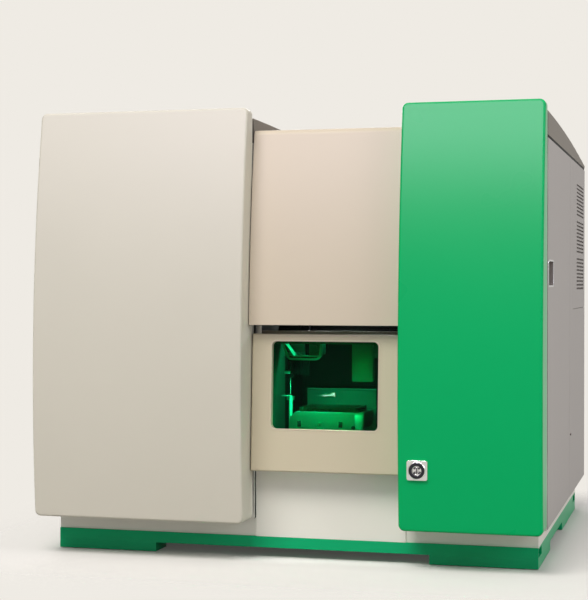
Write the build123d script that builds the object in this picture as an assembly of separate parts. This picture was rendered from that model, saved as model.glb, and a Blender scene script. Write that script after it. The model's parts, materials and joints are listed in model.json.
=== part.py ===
from build123d import *

import os
from math import cos, radians, sin, sqrt

# Flow cytometer, bench model, in millimetres.
# Frame: X to the right seen from the front, Y to the back, Z up.
# The origin is the middle of the footprint, on the surface that the instrument stands on.

# ---------------------------------------------------------------------------
# Driving sizes
# ---------------------------------------------------------------------------
overall_width = 1036.0       # across the side panels and the doors
overall_depth = 1000.0       # front of the lock on the door to the back of the side panels
overall_height = 907.0       # floor to the top of the doors

sheet = 2.0                  # steel panels
moulding = 4.0               # wall of the moulded covers and doors
shut_gap = 2.0               # gap between covers that sit side by side
running = 0.05               # radial clearance of a shaft in its bore
slide_play = 0.3             # clearance each side of a sliding part
fit_gap = 1.0                # gap between fixed parts that only come near each other
overshoot = 1.0              # how far a cutting shape stands out of what it cuts

# Levels, from the floor up
plinth_underside = 20.0
plinth_top = 42.5
cabinet_floor = 79.0         # top of the floor deck, and the bottom edge of the doors
fascia_top = 180.0           # lower edge of the sample door
fascia_gap = 3.0             # between the fascia and the sample door
sample_door_height = 275.0
cover_reveal = 18.0          # dark gap between the sample door and the upper cover
deck_level = 843.0           # top of the deck under the roof covers
roof_shadow_gap = 6.0        # recess between the side panels and the roof covers
deck_lip = 9.0               # lip of the deck behind the side panels
deck_inset = 3.0
roof_front_top = 890.0       # side roofs at the front
roof_middle_top = 878.0      # side roofs halfway back
roof_rear_top = 850.0        # side roofs at the rear panel
centre_roof_top = 865.0      # centre roof and upper cover
centre_roof_middle = 857.5
centre_roof_rear = 847.0
roof_edge = 2.5

# Depths
bow_reach = 100.0            # door bow in front of the plinth
door_standoff = 20.0         # back of the doors in front of the plinth
stile_standoff = 4.0         # face of the front stiles in front of the plinth
plinth_depth = 842.0
rear_recess = 2.0            # rear panel in from the edges of the side panels

# Doors
left_door_share = 0.4305     # of the overall width
right_door_share = 0.2674
bow_radius = 3150.0          # curve of the doors, seen from the side
bow_level = 352.0            # height at which the doors reach furthest forward
door_corner = 12.0           # corners of the doors, seen from the front
door_edge = 5.0              # rounding of the doors' front edges
outer_stile = 46.0           # width of the stiles that the hinges screw to
inner_stile = 22.0
stile_leg = 3.0
front_rail = 24.0
seam_post_width = 24.0       # post behind the seam of the side door
seam_post_setback = 5.0
hinge_barrel = 5.5           # radius of a hinge knuckle
hinge_pin = 3.0
knuckle_length = 22.0
hinge_inset = 6.0            # pin axis in from the side of the cabinet
hinge_end_distance = 96.0    # middle of the lower hinge above the door's bottom edge
hinge_top_distance = 136.0   # middle of the upper hinge below the door's top edge
knuckle_gap = 0.5
knuckle_web = 3.0            # joins a knuckle to its leaf
pin_proud = 2.0              # pin beyond the end knuckles
leaf_width = 30.0
seal_width = 9.0
seal_squeeze = 0.5           # gap between a shut door and the seal
seal_from_edge = 6.0
seal_low_margin = 7.0
seal_high_margin = 16.0

# Lock on the right door
lock_from_door_edge = 38.5
lock_level = 198.0
lock_plate_width = 40.0
lock_plate_height = 38.0
lock_plate_proud = 2.5
lock_plate_corner = 4.0
lock_reach = 6.0             # bezel in front of the door's face
lock_ring = 17.0             # outer radius of the bezel
lock_rotor = 9.0             # radius of the turning barrel
lock_shank = 5.0
bezel_chamfer = 1.2
grip_thickness = 4.0
grip_recess = 1.0            # grip behind the bezel's face
cam_length = 34.0            # lock axis to the end of the cam
cam_width = 14.0
cam_thickness = 3.0

# Sample door
slide_tilt = 3.1             # lean of the sample door, in degrees
sample_front_lead = 41.0     # front face at its lower edge, in front of the plinth
sample_door_thickness = 16.0
sample_door_edge = 3.0
window_height = 175.0
window_corner = 10.0
window_from_left = 41.5      # door's left edge to the window
window_from_right = 49.5
window_from_top = 15.0
window_thickness = 4.0
window_overlap = 4.0         # pane behind its opening
window_rim = 8.0             # thicker rim that the pane sits in
sample_door_travel = 270.0
guide_web = 3.0
guide_depth = 16.0
guide_width = 12.0
guide_post = (1.0, 10.0)     # post at the back of the sample door, in from its edge
grip_ledge_width = 110.0     # ledge under the sample door, for the fingers
grip_ledge_height = 6.0
grip_ledge_reach = 8.0

# Upper front cover
cover_setback = 47.0         # behind the curve of the doors
cover_top_round = 12.0
cover_return = 30.0          # top of the cover behind the faces of the stiles
passage_headroom = 8.0       # room above the raised sample door

# Side access door, right
side_door_depth = 486.0
side_door_sheet = 1.5        # thinner than the fixed panels, so it clears the frame
pull_width = 99.0
pull_height = 53.0
pull_level = 575.5
pull_inset = 4.5
pull_depth = 16.0
pull_corner = 8.0
pull_wall = 3.0
pull_floor = 2.0
side_hinge_inset = 7.0       # pin axis in from the outside and forward of the seam
side_hinge_barrel = 4.5
side_hinge_pin = 2.5
side_hinge_end = 110.0       # middle of a hinge from the door's top and bottom
side_hinge_reach = 14.0      # pin to the arm that is screwed to the seam post
side_hinge_arm = 3.5
side_leaf_length = 26.0
side_door_lift = 1.0         # door's lower edge above the floor deck
rear_strip = 75.0            # plain strip behind the side door
vent_panel_bottom = 497.0
vent_width = 201.0
vent_height = 78.0
vent_pitch = 87.0
vent_slots = 9
vent_rear_margin = 33.0
vent_top_margin = 45.0
vent_fields = 3
vent_seam = 1.0

# Feet
foot_along_front = 214.0
front_foot_depth = 230.0
rear_foot_depth = 342.0
foot_bar = 62.0              # width of the foot shoes and of the plinth rails
foot_pad_radius = 24.0
foot_pad_cover = 4.0         # shoe above the pad
plinth_wall = 2.5
plinth_inset = 18.0          # plinth in from the sides of the cabinet
floor_sheet = 3.0
fascia_sheet = 3.0
fascia_lip = 18.0
pad_recess = 1.5             # shoe above the surface, so the pads carry the weight

# Sample chamber
chamber_floor_level = 176.0
chamber_depth = 380.0
lamp_level = 566.0           # underside of the lamp
lamp_length = 220.0
lamp_depth = 20.0
lamp_height = 10.0
lamp_bar_depth = 30.0
lamp_bar_sheet = 3.0
lamp_behind_gantry = 70.0
needle_from_bulkhead = 48.0
needle_setback = 100.0       # needle behind the front of the plinth
needle_radius = 0.8
needle_tip_level = 326.0
needle_clamp_level = 360.0
needle_clamp_height = 10.0
needle_holder_radius = 6.0
cradle_level = 404.0         # underside of the probe arm and its cradle
cradle_sheet = 3.0
cradle_depth = 24.0
# Lower line of the folded cradle: right of the needle, and above the underside of the arm
cradle_profile = ((-22.0, 44.0), (10.0, 0.0), (66.0, 0.0), (72.0, 32.0))
arm_width = 28.0
arm_height = 6.0
arm_from_needle = 6.0
shoe_height = 34.0
shoe_depth = 13.0
needle_stroke = 35.0
probe_travel = 145.0
wash_collar_level = 321.0
wash_collar_radius = 8.0
wash_collar_height = 8.0
wash_tower_radius = 4.0
wash_base = (14.0, 10.0, 28.0, 22.0)   # left and right of the needle, depth, height
wash_base_corner = 4.0
wash_bore = 2.5
carrier_from_needle = 14.0
carrier_width = 155.0
carrier_depth = 94.0
carrier_front = 40.0         # behind the front of the plinth
carrier_bottom = 255.0
carrier_height = 39.0
carrier_pocket = 5.0
carrier_chamfer = 12.0
carrier_round = 16.0
carrier_floor = 5.0
carrier_wall = (22.0, 4.0)   # beside and in front of the hollow under the plate
plate_clearance = 0.4
plate_off_middle = 3.0
stage_travel_forward = 20.0
stage_travel_back = 50.0
stage_rail_length = 260.0
stage_rail_setback = 14.0
stage_rail_pitch = 96.0
stage_rail_foot = (20.0, 5.0)
stage_rail_neck = (8.0, 4.0)
stage_rail_head = (14.0, 5.0)
stage_table_height = 28.0
stage_table_overhang = 16.0
stage_table_inset = 7.0
stage_column_width = 68.0
stage_column_inset = 8.0
plate_length = 127.76        # standard microplate footprint
plate_width = 85.48
plate_height = 14.35
plate_skirt = 2.5
well_pitch = 9.0
well_side = 6.6
well_depth = 11.0
well_columns = 12
well_rows = 8
gantry_level = 455.0
gantry_setback = 195.0
gantry_height = 30.0
gantry_depth = 20.0
gantry_groove = 4.0
gantry_groove_margin = 3.0
rail_width = 9.0
rail_height = 6.5
rail_end_gap = 4.0
lift_rail_end_gap = 3.0
rail_waist = 1.0
rail_waist_span = (1.8, 3.6)   # from the rail's foot
saddle_half = 22.0
saddle_depth = 12.0
saddle_height = 28.0
mast_thickness = 5.0
mast_above_gantry = 60.0
mast_spare = 8.0             # mast beyond the arm at the end of its stroke
reader_width = 42.0
reader_depth = 16.0
reader_height = 78.0
reader_level = 358.0
reader_from_bulkhead = 75.0
reader_setback = 28.0
reader_corner = 3.0
reader_arm_height = 28.0
reader_arm_overlap = 16.0
reader_arm_sheet = 3.0

# Optics bay
optical_plate_level = 490.0
optical_plate_thickness = 16.0
optical_plate_depth = 534.0
optical_plate_setback = 26.0
optical_plate_side_gap = 14.0
optical_plate_corner = 6.0
optics_shelf_depth = 588.0
optics_shelf_setback = 16.0
optics_mount_height = 22.0
optics_mount_radius = 16.0
optics_mount_inset = 40.0
laser_count = 3
laser_gap = 24.0
laser_inset = 40.0
laser_edge = 10.0
laser_length = 190.0
laser_width = 62.0
laser_height = 54.0
laser_fins = 6
laser_fin_pitch = 9.0
laser_fin_slot = 4.0
laser_fin_margin = 6.0
laser_fin_depth = 14.0
laser_fin_stop = 20.0
nozzle_radius = 7.0
nozzle_length = 8.0
beam_height = 32.0           # laser beams above the optical plate
mirror_from_laser = 60.0
mirror_post = 22.0
post_height = 14.0           # foot of a mirror or of the flow cell
mirror_glass = (6.0, 26.0, 38.0)
flow_cell_from_edge = 60.0
flow_cell_setback = 150.0
flow_cell_foot = 36.0
flow_cell_side = 12.0
flow_cell_height = 44.0
flow_head_radius = 13.0
flow_head_height = 16.0
lens_radius = 15.0
lens_span = (24.0, 62.0)     # behind the flow cell
lens_foot = 24.0
lens_foot_gap = 4.0
detector_count = 4
detector_first = 92.0        # behind the flow cell
detector_pitch = 62.0
detector_depth = 54.0
detector_reach = (34.0, 30.0)
detector_height = 70.0
filter_slot = (8.0, 6.0)     # from the module's front, and its width
filter_slot_x = (20.0, 16.0)
filter_slot_depth = 30.0
feed_hole = 9.0              # for the sample line, through the bulkhead
feed_hole_behind_gantry = 60.0

# Fluidics bay
tank_width = 226.0
tank_depth = 214.0
tank_height = 300.0
tank_wall = 3.0
tank_corner = 20.0
tank_shoulder = 12.0
tank_setback = 22.0
tank_gap = 18.0
tank_neck_height = 14.0
tank_neck_wall = 3.0
cap_radius = 24.0
cap_height = 26.0
cap_wall = 4.0
cap_lift = 2.0
cap_nipple = (5.0, 10.0)     # radius and height of the hose nipple
fluidics_shelf_level = 566.0
shelf_behind_pull = 12.0
pump_from_middle = 50.0
pump_setback = 90.0
pump_head = (64.0, 36.0, 70.0)
pump_corner = 8.0
pump_motor_radius = 27.0
pump_motor_length = 84.0
manifold_from_middle = 14.0
manifold_setback = 40.0
manifold_size = (80.0, 40.0, 30.0)
coil_count = 4
coil_size = (14.0, 28.0, 32.0)
coil_pitch = 18.0
coil_first = 13.0
filter_from_middle = 54.0
filter_setback = 150.0
filter_radius = 21.0
filter_height = 96.0
filter_dome = 8.0

# Electronics and cooling
cage_margins = (40.0, 60.0)  # from the left wall and from the bulkhead
cage_setback = 120.0
cage_depth = 400.0
cage_height = 230.0
card_count = 6
card_thickness = 1.6
card_margins = (10.0, 60.0)
supply_size = (160.0, 210.0, 90.0)
supply_left_of_middle = 110.0
supply_behind_chamber = 120.0
supply_corner = 3.0
fan_size = 92.0
fan_thickness = 25.0
fan_corner = 5.0
fan_bore = 42.0
fan_hub = 17.0
fan_blades = 7
blade_chord = 22.0
blade_thickness = 2.0
blade_pitch_angle = 35
blade_tip_gap = 2.0
rotor_gap = 5.0
spider_thickness = 3.0
spider_width = 5.0
fan_shaft = 2.5
fan_level = 640.0
grille_ring = 8.0
grille_ring_pitch = 11.0
grille_rings = 3
grille_spoke = 3.0
inlet_from_middle = 45.5
inlet_level = 140.0
inlet_half_width = 14.0
inlet_half_height = 10.5
inlet_wall = 2.5
inlet_depth = 22.0
socket_depth = 14.0
inlet_pin = (1.0, 2.0)       # half width and half height
inlet_pin_pitch = 7.0
inlet_pin_length = 10.0
switch_half_width = 7.0
switch_pitch = 40.0          # inlet to the rocker switch
switch_wall = 1.5
switch_depth = 20.0
switch_well = 16.0
rocker_tilt = 9.0
rocker_pivot = 6.0           # pivot behind the rear panel's face
rocker_pin = 1.5
rocker_thickness = 8.0
rocker_side_gap = 0.4
rocker_end_gap = 1.25

# ---------------------------------------------------------------------------
# Places worked out from the driving sizes
# ---------------------------------------------------------------------------
side_x = overall_width / 2
lock_setback = bow_radius - sqrt(bow_radius ** 2 - (lock_level - bow_level) ** 2)
bow_front = -overall_depth / 2 + max(0.0, lock_reach - lock_setback)
rear_y = overall_depth / 2
plinth_front = bow_front + bow_reach
plinth_rear = plinth_front + plinth_depth
rear_face = rear_y - rear_recess
rear_inner = rear_face - sheet
plinth_x = side_x - plinth_inset
door_back = plinth_front - door_standoff
stile_front = plinth_front - stile_standoff
left_inner_x = -side_x + overall_width * left_door_share
right_inner_x = side_x - overall_width * right_door_share
centre_left = left_inner_x + shut_gap
centre_right = right_inner_x - shut_gap
centre_middle = (centre_left + centre_right) / 2
panel_top = deck_level - roof_shadow_gap
cover_bottom = fascia_top + sample_door_height + cover_reveal
door_gap = stile_front - door_back
hinge_x = side_x - hinge_inset
hinge_y = (door_back + stile_front) / 2 - 2.0
side_seam_y = stile_front + side_door_depth
side_hinge_x = side_x - side_hinge_inset
side_hinge_y = side_seam_y - side_hinge_inset
side_hinge_sweep = side_hinge_inset * sqrt(2.0) + fit_gap
cover_return_y = stile_front + cover_return
needle_x = left_inner_x + needle_from_bulkhead
needle_y = plinth_front + needle_setback
gantry_y = plinth_front + gantry_setback
chamber_back_y = plinth_front + chamber_depth
lock_x = right_inner_x + lock_from_door_edge
inlet_x = centre_middle + inlet_from_middle
switch_x = inlet_x + switch_pitch
carrier_left = needle_x + carrier_from_needle
carrier_front_y = plinth_front + carrier_front
carrier_middle_y = carrier_front_y + carrier_depth / 2
carrier_middle_x = carrier_left + carrier_width / 2
carrier_top = carrier_bottom + carrier_height
plate_middle_x = carrier_middle_x + plate_off_middle
rail_face = gantry_y - gantry_depth / 2
saddle_front = rail_face - saddle_depth
mast_front = saddle_front - mast_thickness
optics_shelf_level = optical_plate_level - optical_plate_thickness - optics_mount_height
optics_x = (-side_x + sheet, left_inner_x - sheet)
optical_plate_x = (-side_x + optical_plate_side_gap, left_inner_x - optical_plate_side_gap)
optical_plate_front = plinth_front + optical_plate_setback
optical_plate_y = (optical_plate_front, optical_plate_front + optical_plate_depth)
flow_cell_x = optical_plate_x[1] - flow_cell_from_edge
flow_cell_y = optical_plate_y[0] + flow_cell_setback
beam_level = optical_plate_level + beam_height
tank_middle_x = (right_inner_x + side_x) / 2
sheath_y = (plinth_front + tank_setback, plinth_front + tank_setback + tank_depth)
waste_y = (sheath_y[1] + tank_gap, sheath_y[1] + tank_gap + tank_depth)
fan_pitch = fan_size + (centre_right - centre_left - 2 * fan_size) / 3
fan_places = (centre_middle - fan_pitch / 2, centre_middle + fan_pitch / 2)


# ---------------------------------------------------------------------------
# Helpers
# ---------------------------------------------------------------------------
def block(x, y, z):
    """Box between two values on each axis."""
    size = [b - a for a, b in (x, y, z)]
    middle = [(a + b) / 2 for a, b in (x, y, z)]
    return Pos(*middle) * Box(*size)


def around(middle, size):
    """The two ends of a span of a given size about its middle."""
    return (middle - size / 2, middle + size / 2)


def wider(span, extra=overshoot):
    """A span that stands out at both ends, for a cut that goes right through."""
    return (span[0] - extra, span[1] + extra)


def rod_x(radius, x, y, z):
    return Pos((x[0] + x[1]) / 2, y, z) * Rot(0, 90, 0) * Cylinder(radius, x[1] - x[0])


def rod_y(radius, x, y, z):
    return Pos(x, (y[0] + y[1]) / 2, z) * Rot(90, 0, 0) * Cylinder(radius, y[1] - y[0])


def rod_z(radius, x, y, z):
    return Pos(x, y, (z[0] + z[1]) / 2) * Cylinder(radius, z[1] - z[0])


def mirrored(shape):
    """The same piece on the other side of the cabinet."""
    return mirror(shape, about=Plane.YZ)


def save(name, *shapes):
    """Writes one sub-part; several shapes stay separate solids."""
    solids = [solid for shape in shapes for solid in shape.solids()]
    part = solids[0] if len(solids) == 1 else Compound(children=solids)
    export_step(part, "parts/" + name + ".step")


def bow(z, inset=0.0):
    """Y of the doors' curve at height z, moved inwards by inset."""
    return bow_front + bow_radius - sqrt((bow_radius - inset) ** 2 - (z - bow_level) ** 2)


def bowed_block(x, z, back, inset=0.0):
    """A block whose front follows the curve of the doors."""
    middle = (z[0] + z[1]) / 2
    front = ThreePointArc((bow(z[0], inset), z[0]), (bow(middle, inset), middle), (bow(z[1], inset), z[1]))
    rest = Polyline((bow(z[1], inset), z[1]), (back, z[1]), (back, z[0]), (bow(z[0], inset), z[0]))
    face = make_face([*front.edges(), *rest.edges()])
    return Pos(x[0], 0, 0) * extrude(Plane.YZ * face, x[1] - x[0])


# ---------------------------------------------------------------------------
# Base
# ---------------------------------------------------------------------------
def plinth_rail(x, y):
    """Rectangular steel tube, closed at its ends by the rails beside it."""
    z = (plinth_underside, plinth_top)
    core_z = wider(z, -plinth_wall)
    if x[1] - x[0] > y[1] - y[0]:
        core = block(x, wider(y, -plinth_wall), core_z)
    else:
        core = block(wider(x, -plinth_wall), y, core_z)
    return block(x, y, z) - core


def plinth_rails():
    front = plinth_rail((-plinth_x, plinth_x), (plinth_front, plinth_front + foot_bar))
    rear = plinth_rail((-plinth_x, plinth_x), (plinth_rear - foot_bar, plinth_rear))
    side_span = (plinth_front + foot_bar, plinth_rear - foot_bar)
    side = plinth_rail((plinth_x - foot_bar, plinth_x), side_span)
    return [front, rear, side, mirrored(side)]


def foot_shoe(corner_y, along_y):
    """L-shaped shoe under one corner of the plinth; along_y is signed towards the middle."""
    z = (pad_recess, plinth_underside)
    towards = 1 if along_y > 0 else -1
    bar_end = corner_y + towards * foot_bar
    long_end = corner_y + along_y
    across = block((plinth_x - foot_along_front, plinth_x), sorted((corner_y, bar_end)), z)
    along = block((plinth_x - foot_bar, plinth_x), sorted((corner_y, long_end)), z)
    shoe = across + along
    pocket_z = (pad_recess, plinth_underside - foot_pad_cover)
    for x, y in foot_pad_places(corner_y, towards):
        shoe -= rod_z(foot_pad_radius + slide_play, x, y, pocket_z)
    return shoe


def foot_pad_places(corner_y, towards):
    return [(plinth_x - foot_bar / 2, corner_y + towards * foot_bar / 2)]


def feet():
    shoes = []
    pads = []
    for corner_y, along_y in ((plinth_front, front_foot_depth), (plinth_rear, -rear_foot_depth)):
        towards = 1 if along_y > 0 else -1
        shoe = foot_shoe(corner_y, along_y)
        shoes += [shoe, mirrored(shoe)]
        for x, y in foot_pad_places(corner_y, towards):
            pad = rod_z(foot_pad_radius, x, y, (0.0, plinth_underside - foot_pad_cover))
            pads += [pad, mirrored(pad)]
    save("plinth", *plinth_rails(), *shoes)
    save("foot_pads", *pads)


def base_pan():
    """Low wall between the plinth and the doors, and the floor that it carries."""
    z = (plinth_top, cabinet_floor - floor_sheet)
    front_y = plinth_front + fascia_sheet
    front = block((-plinth_x, plinth_x), (front_y, front_y + sheet), z)
    rear = block((-plinth_x, plinth_x), (plinth_rear - sheet, plinth_rear), z)
    side = block((plinth_x - sheet, plinth_x), (front_y + sheet, plinth_rear - sheet), z)
    floor = block((-side_x + sheet, side_x - sheet), (front_y, rear_inner), (z[1], cabinet_floor))
    save("base_pan", front, rear, side, mirrored(side), floor)


# ---------------------------------------------------------------------------
# Cabinet walls
# ---------------------------------------------------------------------------
def vent_field(x, y, bottom):
    """Stack of horizontal louvre slots cut through a side panel."""
    slot_pitch = vent_height / vent_slots
    cuts = []
    for i in range(vent_slots):
        middle = bottom + (i + 0.5) * slot_pitch
        cuts.append(block(x, y, around(middle, slot_pitch / 2)))
    return Part() + cuts


def side_walls():
    x = (side_x - sheet, side_x)
    y = (stile_front, rear_y)
    left = mirrored(block(x, y, (cabinet_floor, panel_top)))
    save("left_side_panel", left)

    vent_start_y = side_seam_y + rear_strip
    full = block(x, (side_seam_y + shut_gap, rear_y), (cabinet_floor, panel_top))
    upper = block(x, (vent_start_y, rear_y), (vent_panel_bottom, panel_top))
    save("right_rear_side_panel", full - upper)
    panel = block(x, (vent_start_y + vent_seam, rear_y), (vent_panel_bottom + vent_seam, panel_top))
    field_y = (rear_y - vent_rear_margin - vent_width, rear_y - vent_rear_margin)
    top_field = panel_top - vent_top_margin - vent_height
    for i in range(vent_fields):
        panel -= vent_field(wider(x), field_y, top_field - i * vent_pitch)
    save("right_vent_panel", panel)


def bulkheads():
    """Walls between the three bays."""
    y = (stile_front, rear_inner)
    z = (cabinet_floor, deck_level - sheet)
    left = block((left_inner_x - sheet, left_inner_x), y, z)
    right = block((right_inner_x, right_inner_x + sheet), y, z)
    hole_x = wider((left_inner_x - sheet, left_inner_x))
    hole = rod_x(feed_hole, hole_x, gantry_y + feed_hole_behind_gantry, beam_level)
    save("bulkheads", left - hole, right)


def front_frame():
    """Angle stiles and rails that the hinges screw to and the door seals close on."""
    z = (cabinet_floor, deck_level - sheet)
    bars = []
    bays = ((-side_x + sheet, left_inner_x - sheet), (side_x - sheet, right_inner_x + sheet))
    for outer, inner in bays:
        sign = 1 if inner > outer else -1
        for edge, towards, span in ((outer, sign, outer_stile), (inner, -sign, inner_stile)):
            face = block(sorted((edge, edge + towards * span)), (stile_front, stile_front + sheet), z)
            leg = block(sorted((edge, edge + towards * sheet)), (stile_front, stile_front + stile_leg), z)
            bars.append(face + leg)
        x = sorted((outer + sign * outer_stile, inner - sign * inner_stile))
        low = block(x, (stile_front, stile_front + sheet), (z[0], z[0] + front_rail))
        low += block(x, (stile_front, stile_front + front_rail), (z[0], z[0] + sheet))
        high = block(x, (stile_front, stile_front + sheet), (z[1] - front_rail, z[1]))
        high += block(x, (stile_front, stile_front + front_rail), (z[1] - sheet, z[1]))
        bars += [low, high]
    post_y = side_seam_y + seam_post_setback
    post_z = (cabinet_floor, panel_top - deck_lip)
    post_x = (side_x - sheet - seam_post_width, side_x - sheet)
    post = block(post_x, (post_y, post_y + sheet), post_z)
    post += block((side_x - 2 * sheet, side_x - sheet), (post_y, post_y + seam_post_width), post_z)
    save("front_frame", *bars, post)


def fan_grille(x):
    """Openings of one fan grille: rings of slots between spokes."""
    through = wider((rear_inner, rear_face))
    slots = Part()
    for ring in range(grille_rings):
        outer = fan_bore - ring * grille_ring_pitch
        slots += rod_y(outer, x, through, fan_level) - rod_y(outer - grille_ring, x, through, fan_level)
    for turn in (0, 60, 120):
        slots -= Pos(x, rear_inner, fan_level) * Rot(0, turn, 0) * Box(3 * fan_bore, 4 * sheet, grille_spoke)
    return slots


def rear_wall():
    x = (-side_x + sheet, side_x - sheet)
    panel = block(x, (rear_inner, rear_face), (cabinet_floor, deck_level - sheet))
    through = wider((rear_inner, rear_face))
    for fan_x in fan_places:
        panel -= fan_grille(fan_x)
    for centre, half in ((inlet_x, inlet_half_width), (switch_x, switch_half_width)):
        panel -= block(around(centre, 2 * half), through, around(inlet_level, 2 * inlet_half_height))
    save("rear_panel", panel)


def roof_cover(x, front_y, tops, closed_bottom, edge):
    """Moulded roof cover: convex along its depth, with a skirt all round."""
    def outline(inset, base):
        front = (front_y + inset, tops[0] - inset)
        middle = ((front_y + rear_y) / 2, tops[1] - inset)
        rear = (rear_y - inset, tops[2] - inset)
        crown = ThreePointArc(front, middle, rear)
        rest = Polyline(rear, (rear_y - inset, base), (front_y + inset, base), front)
        return make_face([*crown.edges(), *rest.edges()])

    width = x[1] - x[0]
    body = Pos(x[0], 0, 0) * extrude(Plane.YZ * outline(0.0, closed_bottom), width)
    crown_edges = body.edges().filter_by(GeomType.CIRCLE)
    body = fillet(crown_edges, edge)
    hollow = extrude(Plane.YZ * outline(moulding, closed_bottom - overshoot), width - 2 * moulding)
    return body - Pos(x[0] + moulding, 0, 0) * hollow


def roof():
    deck_x = side_x - deck_inset
    deck = block((-deck_x, deck_x), (stile_front + sheet, rear_face), (deck_level - sheet, deck_level))
    lip_z = (panel_top + sheet - deck_lip, deck_level - sheet)
    lip = block((deck_x - sheet, deck_x), (stile_front + stile_leg + sheet, rear_inner), lip_z)
    notch = rod_z(side_hinge_sweep, side_hinge_x, side_hinge_y, (lip_z[0] - overshoot, lip_z[1]))
    save("top_deck", deck + (lip - notch) + mirrored(lip))
    tops = (roof_front_top, roof_middle_top, roof_rear_top)
    save("left_roof_cover", roof_cover((-side_x, left_inner_x), stile_front, tops, deck_level, roof_edge))
    save("right_roof_cover", roof_cover((right_inner_x, side_x), stile_front, tops, deck_level, roof_edge))
    centre_tops = (centre_roof_top, centre_roof_middle, centre_roof_rear)
    centre_x = (centre_left, centre_right)
    centre = roof_cover(centre_x, cover_return_y + fit_gap, centre_tops, deck_level, roof_edge)
    save("centre_roof_cover", centre)


def upper_cover():
    """Fixed cover over the sample chamber; the sample door rises behind it."""
    x = (centre_left, centre_right)
    z = (cover_bottom, centre_roof_top)
    body = bowed_block(x, z, stile_front, cover_setback)
    body += block(x, (stile_front, cover_return_y), (deck_level, z[1]))
    top_front = body.edges().filter_by(Axis.X).group_by(Axis.Z)[-1].sort_by(Axis.Y)[0]
    body = fillet(top_front, cover_top_round)
    inner_x = (x[0] + moulding, x[1] - moulding)
    hollow = bowed_block(inner_x, (z[0] - overshoot, z[1] - moulding), stile_front + overshoot,
                         cover_setback + moulding)
    hollow += block(inner_x, (stile_front, cover_return_y - moulding),
                    (deck_level - overshoot, z[1] - moulding))
    body -= hollow
    passage_top = slide_length + sample_door_travel + passage_headroom
    passage = block(wider(x), (0.0, passage_top), (-2 * cover_setback, shut_gap))
    save("upper_front_cover", body - leaning(passage))


def fascia():
    """Cream panel below the sample door."""
    x = (centre_left, centre_right)
    panel = block(x, (plinth_front, plinth_front + fascia_sheet), (plinth_top, fascia_top - fascia_gap))
    under_floor = chamber_floor_level - sheet
    lip = block(x, (plinth_front, plinth_front + fascia_lip), (under_floor - fascia_sheet, under_floor))
    save("bottom_fascia", panel + lip)


# ---------------------------------------------------------------------------
# Doors
# ---------------------------------------------------------------------------
def door_shell(x):
    z = (cabinet_floor, overall_height)
    back = door_back - sheet
    outer = bowed_block(x, z, back)
    corners = [e for e in outer.edges().filter_by(Axis.Y)]
    outer = fillet(corners, door_corner)
    front_face = [f for f in outer.faces() if f.area > 0.5 * (x[1] - x[0]) * (z[1] - z[0])]
    front_face = sorted(front_face, key=lambda f: f.center().Y)[0]
    outer = fillet(front_face.edges(), door_edge)
    inner_x = (x[0] + moulding, x[1] - moulding)
    inner_z = (z[0] + moulding, z[1] - moulding)
    hollow = bowed_block(inner_x, inner_z, back + overshoot, moulding)
    hollow_corners = [e for e in hollow.edges().filter_by(Axis.Y)]
    return outer - fillet(hollow_corners, door_corner - moulding)


def door_liner(x):
    """Flat inner skin that closes the back of a door."""
    z = (cabinet_floor, overall_height)
    plate = block(x, (door_back - sheet, door_back), z)
    return fillet(plate.edges().filter_by(Axis.Y), door_corner)


def door_seals():
    """Strips of foam on the front frame, four for each door."""
    depth = (door_back + seal_squeeze, stile_front)
    low = cabinet_floor + seal_low_margin
    high = deck_level - seal_high_margin
    seal_outer = hinge_x - leaf_width - 2 * fit_gap
    bays = ((-seal_outer, left_inner_x - seal_from_edge), (right_inner_x + seal_from_edge, seal_outer))
    strips = []
    for left, right in bays:
        for edge in (left, right - seal_width):
            strips.append(block((edge, edge + seal_width), depth, (low, high)))
        for level in (low, high - seal_width):
            strips.append(block((left + seal_width, right - seal_width), depth, (level, level + seal_width)))
    save("door_seals", *strips)


def hinge_levels():
    return (cabinet_floor + hinge_end_distance, overall_height - hinge_top_distance)


def hinge_parts(level):
    """One hinge of the right door: the cabinet's two knuckles, the pin, the door's knuckle."""
    middle = around(level, knuckle_length)
    whole = around(level, 3 * knuckle_length)
    gap = wider(middle, knuckle_gap)
    outer_spans = ((whole[0], gap[0]), (gap[1], whole[1]))
    bore = rod_z(hinge_pin + running, hinge_x, hinge_y, wider(whole))
    leaf_x = (hinge_x - leaf_width, hinge_x)
    fixed = block(leaf_x, (stile_front - sheet, stile_front), whole)
    for span in outer_spans:
        fixed += rod_z(hinge_barrel, hinge_x, hinge_y, span)
        fixed += block((hinge_x - knuckle_web, hinge_x), (hinge_y, stile_front), span)
    fixed -= rod_z(hinge_barrel + slide_play, hinge_x, hinge_y, gap)
    moving = rod_z(hinge_barrel, hinge_x, hinge_y, middle)
    moving += block(leaf_x, (door_back, door_back + sheet), middle)
    pin = rod_z(hinge_pin, hinge_x, hinge_y, wider(whole, pin_proud))
    return fixed - bore, moving - bore, pin


def doors():
    left_x = (-side_x, left_inner_x)
    right_x = (right_inner_x, side_x)
    shaft_hole = rod_y(lock_rotor + running, lock_x, wider((bow_front, door_back), lock_reach), lock_level)
    hinges = [hinge_parts(level) for level in hinge_levels()]
    knuckles = [moving for fixed, moving, pin in hinges]
    save("left_door_shell", door_shell(left_x))
    save("left_door_liner", door_liner(left_x) + [mirrored(k) for k in knuckles])
    save("right_door_shell", door_shell(right_x) - shaft_hole)
    save("right_door_liner", door_liner(right_x) - shaft_hole + knuckles)
    fixed_parts = [part for fixed, moving, pin in hinges for part in (fixed, pin)]
    side_fixed = [part for level in side_hinge_levels() for part in side_hinge(level)[:2]]
    save("door_hinges", *fixed_parts, *[mirrored(part) for part in fixed_parts], *side_fixed)


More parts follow.
